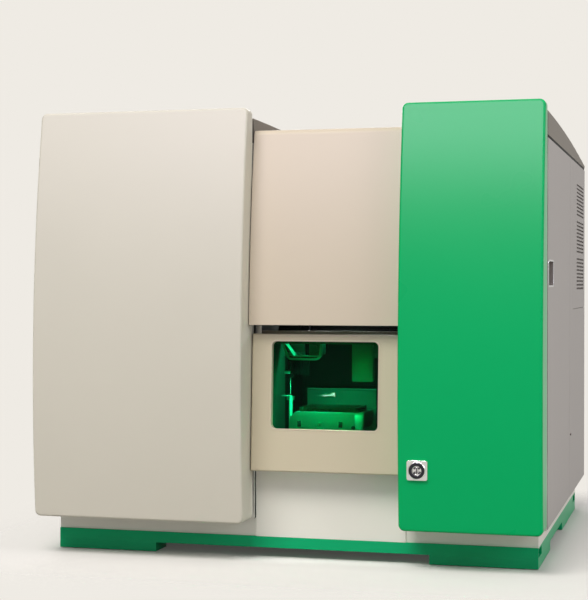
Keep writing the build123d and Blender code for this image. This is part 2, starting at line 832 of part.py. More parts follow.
def door_lock():
    """Quarter-turn lock: plate, bezel, grip barrel and the cam behind the door."""
    face_y = bow(lock_level)
    plate_front = face_y - lock_plate_proud
    plate_x = around(lock_x, lock_plate_width)
    plate_z = around(lock_level, lock_plate_height)
    plate = block(plate_x, (plate_front, face_y + lock_plate_proud), plate_z)
    plate = fillet(plate.edges().filter_by(Axis.Y), lock_plate_corner)
    plate -= bowed_block(wider(plate_x), wider(plate_z), door_back)
    bore = rod_y(lock_rotor + running, lock_x, wider((face_y, face_y), 2 * lock_reach), lock_level)
    bezel = rod_y(lock_ring, lock_x, (face_y - lock_reach, plate_front), lock_level)
    bezel = chamfer(bezel.faces().sort_by(Axis.Y)[0].edges(), bezel_chamfer)
    save("lock_plate", plate - bore, bezel - bore)

    cam_front = stile_front + sheet + cam_thickness
    cam_y = (cam_front, cam_front + cam_thickness)
    barrel = rod_y(lock_rotor, lock_x, (face_y, door_back + fit_gap), lock_level)
    grip = block(around(lock_x, grip_thickness), (face_y - lock_reach + grip_recess, face_y),
                 around(lock_level, 2 * (lock_rotor - grip_recess)))
    shank = rod_y(lock_shank, lock_x, (door_back + fit_gap, cam_y[1]), lock_level)
    cam = block(around(lock_x, cam_width), cam_y, (lock_level - cam_length, lock_level + cam_width / 2))
    cam = fillet(cam.edges().filter_by(Axis.Y), cam_width / 2 - slide_play)
    cam -= rod_y(lock_shank, lock_x, wider(cam_y), lock_level)
    save("lock_rotor", barrel + grip + shank, cam)


# ---------------------------------------------------------------------------
# Sample door, in its own leaning frame: x across, y up the slide, z out of the front
# ---------------------------------------------------------------------------
slide_out = (0.0, -cos(radians(slide_tilt)), sin(radians(slide_tilt)))
sample_frame = Plane(origin=(0, plinth_front - sample_front_lead, fascia_top), x_dir=(1, 0, 0),
                     z_dir=slide_out)
slide_length = sample_door_height / cos(radians(slide_tilt))


def leaning(shape):
    return sample_frame.location * shape


def sample_door():
    back = -sample_door_thickness
    x = (centre_left, centre_right)
    body = block(x, (0, slide_length), (back, 0))
    front_edges = [e for e in body.edges().filter_by(Axis.Y) + body.edges().filter_by(Axis.X)
                   if e.center().Z > back / 2]
    body = fillet(front_edges, sample_door_edge)
    body -= block(wider(x, -moulding), (moulding, slide_length - moulding), (back - overshoot, -moulding))
    window_x = (x[0] + window_from_left, x[1] - window_from_right)
    window_y = (slide_length - window_from_top - window_height, slide_length - window_from_top)
    body += block(wider(window_x, window_rim), wider(window_y, window_rim), (back, -moulding))
    hole = block(window_x, window_y, (back - overshoot, overshoot))
    body -= fillet(hole.edges().filter_by(Axis.Z), window_corner)
    body -= block(wider(window_x, window_overlap), wider(window_y, window_overlap),
                  (back - overshoot, back + window_thickness))
    post_z = (back - guide_depth + sheet, back + overshoot)
    for edge, side in ((x[0], 1), (x[1], -1)):
        post_x = sorted((edge + side * guide_post[0], edge + side * guide_post[1]))
        body += block(post_x, (moulding, slide_length - moulding), post_z)
    body += block(around(centre_middle, grip_ledge_width), (0.0, grip_ledge_height),
                  (back - grip_ledge_reach, back + overshoot))
    pane_overlap = window_overlap - running
    pane = block(wider(window_x, pane_overlap), wider(window_y, pane_overlap),
                 (back, back + window_thickness))
    save("sample_window", leaning(pane))
    save("sample_door_frame", leaning(body))


def sample_guides():
    """Flat rails on the bulkheads; the posts at the back of the sample door run on them."""
    front = -sample_door_thickness - guide_depth + sheet - slide_play
    length = slide_length + sample_door_travel
    rails = []
    for edge, side in ((left_inner_x, 1), (right_inner_x, -1)):
        x = sorted((edge, edge + side * guide_width))
        rails.append(leaning(block(x, (0, length), (front - guide_web, front))))
    save("sample_door_guides", *rails)


# ---------------------------------------------------------------------------
# Side access door
# ---------------------------------------------------------------------------
def side_hinge_levels():
    return (cabinet_floor + side_hinge_end, panel_top - side_hinge_end)


def side_hinge(level):
    """Concealed hinge behind the seam: fixed knuckles with their arms, pin, and the door's knuckle."""
    x, y = side_hinge_x, side_hinge_y
    middle = around(level, knuckle_length)
    whole = around(level, 3 * knuckle_length)
    gap = wider(middle, knuckle_gap)
    bore = rod_z(side_hinge_pin + running, x, y, wider(whole))
    arm_x = (x - side_hinge_reach, x - side_hinge_reach + side_hinge_arm)
    post_y = side_seam_y + seam_post_setback
    fixed = block(arm_x, (side_seam_y + sheet, post_y), whole)
    for span in ((whole[0], gap[0]), (gap[1], whole[1])):
        fixed += rod_z(side_hinge_barrel, x, y, span)
        fixed += block((arm_x[0], x), (y - knuckle_web, y + sheet), span)
        fixed += block(arm_x, (y - knuckle_web, post_y), span)
    inner_face = side_x - side_door_sheet
    root = y - sheet
    moving = rod_z(side_hinge_barrel, x, y, middle)
    moving += block((x, inner_face), (y - side_hinge_barrel, root), middle)
    moving += block((inner_face - sheet, inner_face), (y - side_leaf_length, root), middle)
    pin = rod_z(side_hinge_pin, x, y, wider(whole, pin_proud))
    return fixed - bore, pin, moving - bore


def side_door():
    x = (side_x - side_door_sheet, side_x)
    y = (stile_front, side_seam_y)
    z = (cabinet_floor + side_door_lift, panel_top)
    pull_y = (y[0] + pull_inset, y[0] + pull_inset + pull_width)
    pull_z = around(pull_level, pull_height)
    hole = block(wider(x), pull_y, pull_z)
    hole = fillet(hole.edges().filter_by(Axis.X), pull_corner)
    panel = block(x, y, z) - hole
    save("side_door_panel", panel + [side_hinge(level)[2] for level in side_hinge_levels()])
    cup = block((x[1] - pull_depth, x[1]), pull_y, pull_z)
    cup = fillet(cup.edges().filter_by(Axis.X), pull_corner)
    inside = block((x[1] - pull_depth + pull_floor, x[1] + overshoot), wider(pull_y, -pull_wall),
                   wider(pull_z, -pull_wall))
    inside = fillet(inside.edges().filter_by(Axis.X), pull_corner - pull_wall)
    save("side_door_pull", cup - inside)


# ---------------------------------------------------------------------------
# Sample chamber
# ---------------------------------------------------------------------------
def chamber():
    x = (left_inner_x, right_inner_x)
    floor = block(x, (plinth_front + fascia_sheet, chamber_back_y),
                  (chamber_floor_level - sheet, chamber_floor_level))
    back = block(x, (chamber_back_y, chamber_back_y + sheet), (cabinet_floor, deck_level - sheet))
    save("chamber_liner", floor, back)
    lamp_top = lamp_level + lamp_height
    bar_front = gantry_y + lamp_behind_gantry
    lamp_front = bar_front + (lamp_bar_depth - lamp_depth) / 2
    bar = block(x, (bar_front, bar_front + lamp_bar_depth), (lamp_top, lamp_top + lamp_bar_sheet))
    tube = block(around(centre_middle, lamp_length), (lamp_front, lamp_front + lamp_depth),
                 (lamp_level, lamp_top))
    save("chamber_lamp", bar, tube)


def stage_rail_steps(play=0.0):
    """Half width and levels of the foot, neck and head of a stage rail, each wider by play."""
    steps = []
    level = chamber_floor_level
    for width, height in (stage_rail_foot, stage_rail_neck, stage_rail_head):
        steps.append((width / 2 + play, (level - play, level + height + play)))
        level += height
    return steps


def stage():
    start = plinth_front + stage_rail_setback
    rail_y = (start, start + stage_rail_length)
    centres = around(carrier_middle_x, stage_rail_pitch)
    rails = []
    for x in centres:
        rail = Part()
        for half, z in stage_rail_steps():
            rail += block((x - half, x + half), rail_y, z)
        rails.append(rail)
    save("stage_rails", *rails)

    y = wider((carrier_front_y, carrier_front_y + carrier_depth), -stage_table_inset)
    low = stage_rail_steps()[1][1][0] + fit_gap
    table_z = (low, low + stage_table_height)
    base = block(wider(centres, stage_table_overhang), y, table_z)
    for x in centres:
        for half, z in stage_rail_steps(slide_play)[1:]:
            base -= block((x - half, x + half), wider(y), z)
    column = block(around(carrier_middle_x, stage_column_width), wider(y, -stage_column_inset),
                   (table_z[1], carrier_bottom))
    save("stage_carriage", base + column)

    outer_x = (carrier_left, carrier_left + carrier_width)
    outer_y = (carrier_front_y, carrier_front_y + carrier_depth)
    tray = block(outer_x, outer_y, (carrier_bottom, carrier_top))
    tray = chamfer(tray.edges().filter_by(Axis.Y).group_by(Axis.Z)[-1].sort_by(Axis.X)[0], carrier_chamfer)
    tray = fillet(tray.edges().filter_by(Axis.Y).group_by(Axis.Z)[0].sort_by(Axis.X)[-1], carrier_round)
    tray -= block(around(plate_middle_x, plate_length + 2 * plate_clearance),
                  around(carrier_middle_y, plate_width + 2 * plate_clearance),
                  (carrier_top - carrier_pocket, carrier_top + overshoot))
    tray -= block(wider(outer_x, -carrier_wall[0]), (outer_y[0] + carrier_wall[1], outer_y[1] + overshoot),
                  (carrier_bottom + carrier_floor, carrier_top - carrier_pocket - carrier_wall[1]))
    save("plate_carrier", tray)


def spread(count):
    """Centres of a row of wells about its middle."""
    return [(i - (count - 1) / 2) * well_pitch for i in range(count)]


def microplate():
    z0 = carrier_top - carrier_pocket
    top = z0 + plate_height
    plate = block(around(plate_middle_x, plate_length), around(carrier_middle_y, plate_width),
                  (z0, z0 + plate_skirt))
    plate += block(around(plate_middle_x, plate_length - 2 * plate_skirt),
                   around(carrier_middle_y, plate_width - 2 * plate_skirt), (z0 + plate_skirt, top))
    wells = [Pos(x, y, 0) * Box(well_side, well_side, well_depth)
             for x in spread(well_columns) for y in spread(well_rows)]
    grid = Pos(plate_middle_x, carrier_middle_y, top - well_depth / 2) * Compound(children=wells)
    save("microplate", plate - grid.solids())


def gantry():
    """Cross beam with its rail; the probe carriage runs along it."""
    x = (left_inner_x, right_inner_x)
    y = around(gantry_y, gantry_depth)
    z = around(gantry_level, gantry_height)
    beam = block(x, y, z)
    for level in (z[0] + gantry_groove_margin, z[1] - gantry_groove_margin - gantry_groove):
        beam -= block(wider(x), (y[1] - gantry_groove, y[1] + overshoot), (level, level + gantry_groove))
    rail = block(wider(x, -rail_end_gap), (rail_face - rail_height, rail_face),
                 around(gantry_level, rail_width))
    waist = around(gantry_level, rail_width - 2 * rail_waist)
    waist_y = (rail_face - rail_waist_span[1], rail_face - rail_waist_span[0])
    for groove in ((waist[0] - rail_width, waist[0]), (waist[1], waist[1] + rail_width)):
        rail -= block(x, waist_y, groove)
    save("gantry_beam", beam, rail)


def probe_carriage():
    """Saddle on the gantry's rail, with the mast and the rail that the arm climbs."""
    x = around(needle_x, 2 * saddle_half)
    rail_path = block(wider(x), (rail_face - rail_height - slide_play, rail_face),
                      around(gantry_level, rail_width + 2 * slide_play))
    saddle = block(x, (saddle_front, rail_face - fit_gap), around(gantry_level, saddle_height)) - rail_path
    mast_z = (cradle_level - needle_stroke - mast_spare, gantry_level + mast_above_gantry)
    mast = block(x, (mast_front, saddle_front), mast_z)
    lift_rail = block(around(needle_x, rail_width), (mast_front - rail_height, mast_front),
                      wider(mast_z, -lift_rail_end_gap))
    save("probe_carriage", saddle + mast, lift_rail)


def offset_strip(points, thickness):
    """Closed outline of a folded strip that lies above the given line."""
    upper = []
    for i, (x, z) in enumerate(points):
        before = points[max(i - 1, 0)]
        after = points[min(i + 1, len(points) - 1)]
        dx, dz = after[0] - before[0], after[1] - before[1]
        length = sqrt(dx * dx + dz * dz)
        upper.append((x - dz / length * thickness, z + dx / length * thickness))
    return Polyline(*points, *reversed(upper), points[0])


def probe():
    """Arm with its folded cradle, needle holder and needle."""
    x = around(needle_x, arm_width)
    shoe_y = (mast_front - fit_gap - shoe_depth, mast_front - fit_gap)
    rail_path = block(around(needle_x, rail_width + 2 * slide_play),
                      (mast_front - rail_height - slide_play, mast_front),
                      wider((cradle_level, cradle_level + shoe_height)))
    shoe = block(x, shoe_y, (cradle_level, cradle_level + shoe_height)) - rail_path
    arm_front = needle_y + arm_from_needle
    arm = block(x, (arm_front, shoe_y[0]), (cradle_level, cradle_level + arm_height))
    line = [(needle_x + dx, cradle_level + dz) for dx, dz in cradle_profile]
    profile = make_face(offset_strip(line, cradle_sheet))
    towards_front = Plane(origin=(0, arm_front, 0), x_dir=(1, 0, 0), z_dir=(0, -1, 0))
    cradle = extrude(towards_front * profile, cradle_depth)
    save("probe_arm", shoe + arm + cradle)
    clamp_top = needle_clamp_level + needle_clamp_height
    holder = rod_z(needle_holder_radius, needle_x, needle_y, (clamp_top, cradle_level))
    clamp = block(around(needle_x, 3 * needle_holder_radius), around(needle_y, 2 * wash_collar_radius),
                  (needle_clamp_level, clamp_top))
    bore = rod_z(needle_radius, needle_x, needle_y, wider((needle_clamp_level, cradle_level)))
    save("needle_holder", holder + clamp - bore)
    save("sample_needle", rod_z(needle_radius, needle_x, needle_y, (needle_tip_level, cradle_level)))


def wash_station():
    left, right, depth, height = wash_base
    top = chamber_floor_level + height
    base = block((needle_x - left, needle_x + right), around(needle_y, depth), (chamber_floor_level, top))
    base = fillet(base.edges().filter_by(Axis.Z), wash_base_corner)
    collar_low = wash_collar_level - wash_collar_height
    tower = rod_z(wash_tower_radius, needle_x, needle_y, (top, collar_low))
    collar = rod_z(wash_collar_radius, needle_x, needle_y, (collar_low, wash_collar_level))
    bore = rod_z(wash_bore, needle_x, needle_y, (top - height / 2, wash_collar_level + overshoot))
    save("wash_station", base + tower + collar - bore)


def reader():
    """Reader that looks at the tubes on the stage, on an arm from the bulkhead."""
    right = right_inner_x - reader_from_bulkhead
    front = plinth_front + reader_setback
    z = (reader_level, reader_level + reader_height)
    body = block((right - reader_width, right), (front, front + reader_depth), z)
    body = fillet(body.edges().filter_by(Axis.Y), reader_corner)
    arm_z = (z[1] - reader_arm_sheet - reader_arm_height, z[1] - reader_arm_sheet)
    arm_y = (front + reader_depth, front + reader_depth + reader_arm_sheet)
    save("barcode_reader", body, block((right - reader_arm_overlap, right_inner_x), arm_y, arm_z))


# ---------------------------------------------------------------------------
# Optics bay
# ---------------------------------------------------------------------------
def optics_base():
    """Shelf with four soft mounts, and the optical plate that floats on them."""
    shelf_front = stile_front + optics_shelf_setback
    shelf = block(optics_x, (shelf_front, shelf_front + optics_shelf_depth),
                  (optics_shelf_level - sheet, optics_shelf_level))
    mount_z = (optics_shelf_level, optics_shelf_level + optics_mount_height)
    mounts = [rod_z(optics_mount_radius, x, y, mount_z)
              for x in wider(optical_plate_x, -optics_mount_inset)
              for y in wider(optical_plate_y, -optics_mount_inset)]
    save("optics_shelf", shelf, *mounts)
    plate_z = (optical_plate_level - optical_plate_thickness, optical_plate_level)
    plate = block(optical_plate_x, optical_plate_y, plate_z)
    save("optical_plate", chamfer(plate.edges().filter_by(Axis.Z), optical_plate_corner))


def laser_front(index):
    return optical_plate_y[0] + laser_inset + index * (laser_width + laser_gap)


def lasers():
    """Laser modules with cooling fins, side by side along the left wall."""
    left = optical_plate_x[0] + laser_edge
    x = (left, left + laser_length)
    z = (optical_plate_level, optical_plate_level + laser_height)
    modules = []
    for index in range(laser_count):
        front = laser_front(index)
        body = block(x, (front, front + laser_width), z)
        for fin in range(laser_fins):
            slot = front + laser_fin_margin + fin * laser_fin_pitch
            body -= block((x[0] - overshoot, x[1] - laser_fin_stop), (slot, slot + laser_fin_slot),
                          (z[1] - laser_fin_depth, z[1] + overshoot))
        nozzle = rod_x(nozzle_radius, (x[1], x[1] + nozzle_length), front + laser_width / 2, beam_level)
        modules.append(body + nozzle)
    save("laser_modules", *modules)


def beam_path():
    """Mirrors on their posts, flow cell, and the lens that looks into it."""
    post_z = (optical_plate_level, optical_plate_level + post_height)
    x = optical_plate_x[0] + laser_length + mirror_from_laser
    mirrors = []
    for index in range(laser_count):
        y = laser_front(index) + laser_width / 2
        post = block(around(x, mirror_post), around(y, mirror_post), post_z)
        mirrors.append(post + Pos(x, y, beam_level) * Rot(0, 0, 45) * Box(*mirror_glass))
    foot = block(around(flow_cell_x, flow_cell_foot), around(flow_cell_y, flow_cell_foot), post_z)
    cell_top = post_z[1] + flow_cell_height
    cell = block(around(flow_cell_x, flow_cell_side), around(flow_cell_y, flow_cell_side),
                 (post_z[1], cell_top))
    head = rod_z(flow_head_radius, flow_cell_x, flow_cell_y, (cell_top, cell_top + flow_head_height))
    save("flow_cell", foot, cell, head)
    lens_y = (flow_cell_y + lens_span[0], flow_cell_y + lens_span[1])
    lens = rod_y(lens_radius, flow_cell_x, lens_y, beam_level)
    lens += block(around(flow_cell_x, lens_foot), wider(lens_y, -lens_foot_gap),
                  (optical_plate_level, beam_level - lens_radius / 2))
    save("beam_optics", *mirrors, lens)


def detectors():
    """Row of detector modules with their filter slots."""
    modules = []
    for index in range(detector_count):
        front = flow_cell_y + detector_first + index * detector_pitch
        z = (optical_plate_level, optical_plate_level + detector_height)
        body = block((flow_cell_x - detector_reach[0], flow_cell_x + detector_reach[1]),
                     (front, front + detector_depth), z)
        slot = front + filter_slot[0]
        body -= block((flow_cell_x - filter_slot_x[0], flow_cell_x + filter_slot_x[1]),
                      (slot, slot + filter_slot[1]), (z[1] - filter_slot_depth, z[1] + overshoot))
        modules.append(body)
    save("detector_modules", *modules)


# ---------------------------------------------------------------------------
# Fluidics bay
# ---------------------------------------------------------------------------
def rounded_tank(x, y, z, corner, shoulder):
    body = block(x, y, z)
    body = fillet(body.edges().filter_by(Axis.Z), corner)
    return fillet(body.faces().sort_by(Axis.Z)[-1].edges(), shoulder)


def tank(y):
    x = around(tank_middle_x, tank_width)
    z = (cabinet_floor, cabinet_floor + tank_height)
    middle_y = (y[0] + y[1]) / 2
    neck = cap_radius - cap_wall
    neck_z = (z[1] - tank_wall - overshoot, z[1] + tank_neck_height)
    body = rounded_tank(x, y, z, tank_corner, tank_shoulder)
    body += rod_z(neck, tank_middle_x, middle_y, neck_z)
    core = rounded_tank(wider(x, -tank_wall), wider(y, -tank_wall), wider(z, -tank_wall),
                        tank_corner - tank_wall, tank_shoulder - tank_wall)
    core += rod_z(neck - tank_neck_wall, tank_middle_x, middle_y, (neck_z[0], neck_z[1] + overshoot))
    return body - core


def tank_cap(y):
    middle_y = (y[0] + y[1]) / 2
    shoulder = cabinet_floor + tank_height
    top = shoulder + cap_height
    cap = rod_z(cap_radius, tank_middle_x, middle_y, (shoulder + cap_lift, top))
    cap -= rod_z(cap_radius - cap_wall + running, tank_middle_x, middle_y,
                 (shoulder, shoulder + tank_neck_height))
    return cap + rod_z(cap_nipple[0], tank_middle_x, middle_y, (top, top + cap_nipple[1]))


def fluidics():
    save("sheath_tank", tank(sheath_y))
    save("waste_tank", tank(waste_y))
    save("tank_caps", tank_cap(sheath_y), tank_cap(waste_y))
    top = fluidics_shelf_level
    shelf_y = (stile_front + pull_inset + pull_width + shelf_behind_pull, side_seam_y + seam_post_setback)
    shelf = block((right_inner_x + sheet, side_x - 2 * sheet), shelf_y, (top - sheet, top))
    notch = rod_z(side_hinge_sweep, side_hinge_x, side_hinge_y, wider((top - sheet, top)))
    save("fluidics_shelf", shelf - notch)

    pump_x = tank_middle_x - pump_from_middle
    pump_y = shelf_y[0] + pump_setback
    width, depth, height = pump_head
    head = block(around(pump_x, width), (pump_y - depth, pump_y), (top, top + height))
    head = fillet(head.edges().filter_by(Axis.Y), pump_corner)
    motor = rod_y(pump_motor_radius, pump_x, (pump_y, pump_y + pump_motor_length), top + height / 2)
    body = rod_z(filter_radius, tank_middle_x + filter_from_middle, shelf_y[0] + filter_setback,
                 (top, top + filter_height))
    body = fillet(body.faces().sort_by(Axis.Z)[-1].edges(), filter_dome)
    save("sheath_pump", head + motor, body)

    width, depth, height = manifold_size
    left = tank_middle_x + manifold_from_middle
    front = shelf_y[0] + manifold_setback
    manifold = block((left, left + width), (front, front + depth), (top, top + height))
    coils = []
    for index in range(coil_count):
        x = left + coil_first + index * coil_pitch
        coils.append(block(around(x, coil_size[0]), around(front + depth / 2, coil_size[1]),
                           (top + height, top + height + coil_size[2])))
    save("valve_manifold", manifold, *coils)


# ---------------------------------------------------------------------------
# Electronics, cooling and mains
# ---------------------------------------------------------------------------
def electronics():
    """Card cage with its cards, and the power supply behind the sample chamber."""
    x = (optics_x[0] + cage_margins[0], optics_x[1] - cage_margins[1])
    y = (plinth_front + cage_setback, plinth_front + cage_setback + cage_depth)
    z = (cabinet_floor, cabinet_floor + cage_height)
    inner_z = wider(z, -sheet)
    plates = [block(x, y, (z[0], inner_z[0])), block(x, y, (inner_z[1], z[1]))]
    for edge in (x[0], x[1] - sheet):
        plates.append(block((edge, edge + sheet), y, inner_z))
    pitch = (x[1] - x[0]) / (card_count + 1)
    card_y = (y[0] + card_margins[0], y[1] - card_margins[1])
    cards = [block(around(x[0] + pitch * (index + 1), card_thickness), card_y, inner_z)
             for index in range(card_count)]
    save("card_cage", *plates, *cards)
    left = centre_middle - supply_left_of_middle
    front = chamber_back_y + supply_behind_chamber
    supply = block((left, left + supply_size[0]), (front, front + supply_size[1]),
                   (cabinet_floor, cabinet_floor + supply_size[2]))
    save("power_supply", chamfer(supply.edges().filter_by(Axis.Z), supply_corner))


def fan_frame(x, y):
    """Square frame, round bore, and the spider that carries the shaft."""
    frame = block(around(x, fan_size), y, around(fan_level, fan_size))
    frame = fillet(frame.edges().filter_by(Axis.Y), fan_corner)
    frame -= rod_y(fan_bore, x, wider(y), fan_level)
    spider_y = (y[0], y[0] + spider_thickness)
    spider = rod_y(fan_hub, x, spider_y, fan_level)
    for turn in (45, 135):
        spider += Pos(x, sum(spider_y) / 2, fan_level) * Rot(0, turn, 0) * Box(
            2 * fan_bore + spider_thickness, spider_thickness, spider_width)
    return frame + spider + rod_y(fan_shaft, x, (spider_y[1], y[1] - spider_thickness), fan_level)


def fan_rotor(x, y):
    """Hub with pitched blades, bored for the shaft."""
    reach = fan_bore - blade_tip_gap - fan_hub
    rotor = rod_y(fan_hub, x, y, fan_level)
    blade = Pos(0, 0, fan_hub + (reach - blade_thickness) / 2) * Rot(0, 0, blade_pitch_angle) * Box(
        blade_chord, blade_thickness, reach + blade_thickness)
    for index in range(fan_blades):
        rotor += Pos(x, sum(y) / 2, fan_level) * Rot(0, 360.0 / fan_blades * index, 0) * blade
    return rotor - rod_y(fan_shaft + running, x, wider(y), fan_level)


def fans():
    y = (rear_inner - fan_thickness, rear_inner)
    save("fan_frames", *[fan_frame(x, y) for x in fan_places])
    for side, x in zip(("left", "right"), fan_places):
        save("fan_rotor_" + side, fan_rotor(x, wider(y, -rotor_gap)))


def mains():
    """Appliance inlet, and a rocker switch that tips about its middle."""
    x = around(inlet_x, 2 * inlet_half_width)
    z = around(inlet_level, 2 * inlet_half_height)
    inlet = block(x, (rear_face - inlet_depth, rear_face), z)
    socket_floor = rear_face - socket_depth
    inlet -= block(wider(x, -inlet_wall), (socket_floor, rear_face + overshoot), wider(z, -inlet_wall))
    for place in (-inlet_pin_pitch, 0.0, inlet_pin_pitch):
        inlet += block(around(inlet_x + place, 2 * inlet_pin[0]),
                       (socket_floor - fit_gap, socket_floor + inlet_pin_length),
                       around(inlet_level, 2 * inlet_pin[1]))
    x = around(switch_x, 2 * switch_half_width)
    well_x = wider(x, -switch_wall)
    well_z = wider(z, -switch_wall)
    housing = block(x, (rear_face - switch_depth, rear_face), z)
    housing -= block(well_x, (rear_face - switch_well, rear_face + overshoot), well_z)
    pivot_y = rear_face - rocker_pivot
    housing += rod_x(rocker_pin, x, pivot_y, inlet_level)
    save("mains_inlet", inlet, housing)
    width = well_x[1] - well_x[0] - 2 * rocker_side_gap
    height = well_z[1] - well_z[0] - 2 * rocker_end_gap
    rocker = Rot(-rocker_tilt, 0, 0) * Box(width, rocker_thickness, height)
    rocker = Pos(switch_x, pivot_y, inlet_level) * rocker
    save("power_rocker", rocker - rod_x(rocker_pin + running, x, pivot_y, inlet_level))


os.makedirs("parts", exist_ok=True)
feet()
base_pan()
side_walls()
bulkheads()
front_frame()
rear_wall()
roof()
upper_cover()
fascia()
doors()
door_seals()
door_lock()
sample_door()
sample_guides()
side_door()
chamber()
stage()
microplate()
gantry()
probe_carriage()
probe()
wash_station()
reader()
optics_base()
lasers()
beam_path()
detectors()
fluidics()
electronics()
fans()
mains()
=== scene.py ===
# %% [markdown]
# # Dressing a bench flow cytometer
# A flow cytometer is a laboratory cabinet about a metre wide. Lasers sit behind its wide left door,
# fluid tanks behind its narrow right door, and a robot needle draws samples behind a tinted window.
# The solid model gives every panel its size and place. This lesson gives the panels their finishes
# and adds the small hardware that is too fine for the solids. Loading the model first means that
# each added piece can be placed by the panel that carries it.

# %% Load the solid model
import json
import math

import bmesh
import bpy
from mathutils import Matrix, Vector


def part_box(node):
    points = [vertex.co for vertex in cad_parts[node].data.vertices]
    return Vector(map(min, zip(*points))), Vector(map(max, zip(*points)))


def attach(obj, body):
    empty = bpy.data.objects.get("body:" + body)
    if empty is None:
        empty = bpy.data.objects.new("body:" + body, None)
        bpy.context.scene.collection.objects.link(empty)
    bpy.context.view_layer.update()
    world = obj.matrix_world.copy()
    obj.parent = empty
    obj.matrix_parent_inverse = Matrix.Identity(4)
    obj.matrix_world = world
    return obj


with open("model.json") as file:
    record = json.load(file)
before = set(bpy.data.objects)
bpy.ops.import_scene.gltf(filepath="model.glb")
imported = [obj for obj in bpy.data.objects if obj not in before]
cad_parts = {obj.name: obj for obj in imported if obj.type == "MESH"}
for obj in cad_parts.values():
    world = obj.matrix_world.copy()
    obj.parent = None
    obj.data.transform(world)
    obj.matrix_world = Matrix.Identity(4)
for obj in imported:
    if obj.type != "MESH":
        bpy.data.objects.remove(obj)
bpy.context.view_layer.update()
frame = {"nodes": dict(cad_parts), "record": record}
nodes = frame["nodes"]

# %% [markdown]
# ## The camera
# The cabinet is seen from about three and a half metres away with a short telephoto lens, a little to its right
# and at the height of the sample door, so its verticals stay upright. A longer lens from further away
# would flatten the right side, so both the distance and the focal length matter. The sensor is
# 36 mm along the taller edge of a frame of 588 by 600.

# %% Camera
camera = bpy.data.objects.new("camera", bpy.data.cameras.new("camera"))
bpy.context.scene.collection.objects.link(camera)
camera.data.sensor_width = 36.0
camera.data.lens = 92.2
camera.location = (0.8158, -3.3893, 0.5538)
camera.rotation_euler = (math.radians(89.42), 0.0, math.radians(15.08))
camera.data.clip_start = 0.05
bpy.context.scene.camera = camera
bpy.context.scene.view_settings.view_transform = "Standard"
print("camera stands", round(camera.location.length, 2), "m from the middle of the footprint")

# %% [markdown]
# ## Small tools
# Paint charts and screens give colours as sRGB hex values, and shaders count in linear light, so one
# function turns the first into the second. A second function adds a shader node with its settings,
# socket values and links. Three more cover what most finishes share: a noise of a real size, a range
# for a value to vary in, and a mix of two colours. So every material reads from top to bottom.

# %% Colour and shader tools
def linear(hex_colour):
    """An sRGB hex colour as the linear red, green, blue and alpha that a shader takes."""
    channels = [int(hex_colour[i:i + 2], 16) / 255 for i in (1, 3, 5)]
    return tuple(c / 12.92 if c <= 0.04045 else ((c + 0.055) / 1.055) ** 2.4 for c in channels) + (1.0,)


def per_mm(size):
    """Texture scale that makes one cell of a pattern as large as size, in millimetres."""
    return 1000.0 / size


def add_node(material, kind, settings=None, values=None, links=None):
    """Adds one node: settings are its own, values fill its sockets, links plug outputs into them.
    A node in links stands for its first output."""
    tree = material.node_tree
    node = tree.nodes.new("ShaderNode" + kind)
    for name, value in (settings or {}).items():
        setattr(node, name, value)
    for socket, value in (values or {}).items():
        node.inputs[socket].default_value = value
    for socket, source in (links or {}).items():
        tree.links.new(getattr(source, "outputs", [source])[0], node.inputs[socket])
    return node


def empty_material(name):
    """A new material with nothing in its tree but the output."""
    material = bpy.data.materials.new(name)
    material.use_nodes = True
    material.node_tree.nodes.clear()
    return material


def show(material, shader):
    """Plugs a shader into the material's output and hands the material back."""
    add_node(material, "OutputMaterial", links={"Surface": shader})
    return material


def noise(material, size, detail=2.0):
    """Soft noise in the object's own coordinates, with cells of a size in millimetres."""
    place = add_node(material, "TexCoord")
    return add_node(material, "TexNoise", values={"Scale": per_mm(size), "Detail": detail},
                    links={"Vector": place.outputs["Object"]})


def between(material, source, low, high):
    """Stretches an output that runs from 0 to 1 so that it runs from low to high."""
    return add_node(material, "MapRange", values={"To Min": low, "To Max": high}, links={"Value": source})


def blend(material, share, first, second):
    """Mixes two colours, each a fixed colour or the output of a node."""
    mix = add_node(material, "Mix", {"data_type": "RGBA"}, links={0: share})
    for socket, colour in ((6, first), (7, second)):
        if isinstance(colour, tuple):
            mix.inputs[socket].default_value = colour
        else:
            material.node_tree.links.new(colour, mix.inputs[socket])
    return mix.outputs[2]


print("cream paint in linear light:", [round(c, 3) for c in linear("#E2DDD1")])

# %% [markdown]
# ## The studio
# A product picture of a pale cabinet needs light that comes from everywhere, and one large soft box
# for direction. Here the world gives the even part, and the soft box hangs high in front, so the
# doors shade the plinth that stands back under them. A weaker box on the right keeps the side
# readable, and one behind on the left does so for the back. A box in front lights nothing by itself:
# only gloss sees it, and it draws the pale gradient down the painted doors. The floor is a wide disc
# that melts into the background, because a visible horizon would cut the picture in two. Light that
# bounces up from it would wash out the shade under the doors, so diffuse rays meet a darker paper
# than the camera does.

# %% Floor, background and lamps
BACKGROUND = "#EFEBE4"
FLOOR_RADIUS = 4.0
FOOTPRINT = (0.518, 0.5, 0.0)   # half the width and depth that the near fade starts from
SHADOW_REACH = 0.34             # how far from the object the floor still shows a shadow
FLOOR_SEEN = "#E5E3E1"          # the paper as camera, gloss and glass see it
FLOOR_BOUNCE = "#A9A7A2"        # the paper as diffuse light meets it


def aim(thing, target):
    """Turns a lamp so that it shines at a point."""
    direction = Vector(target) - thing.location
    thing.rotation_euler = direction.to_track_quat("-Z", "Y").to_euler()


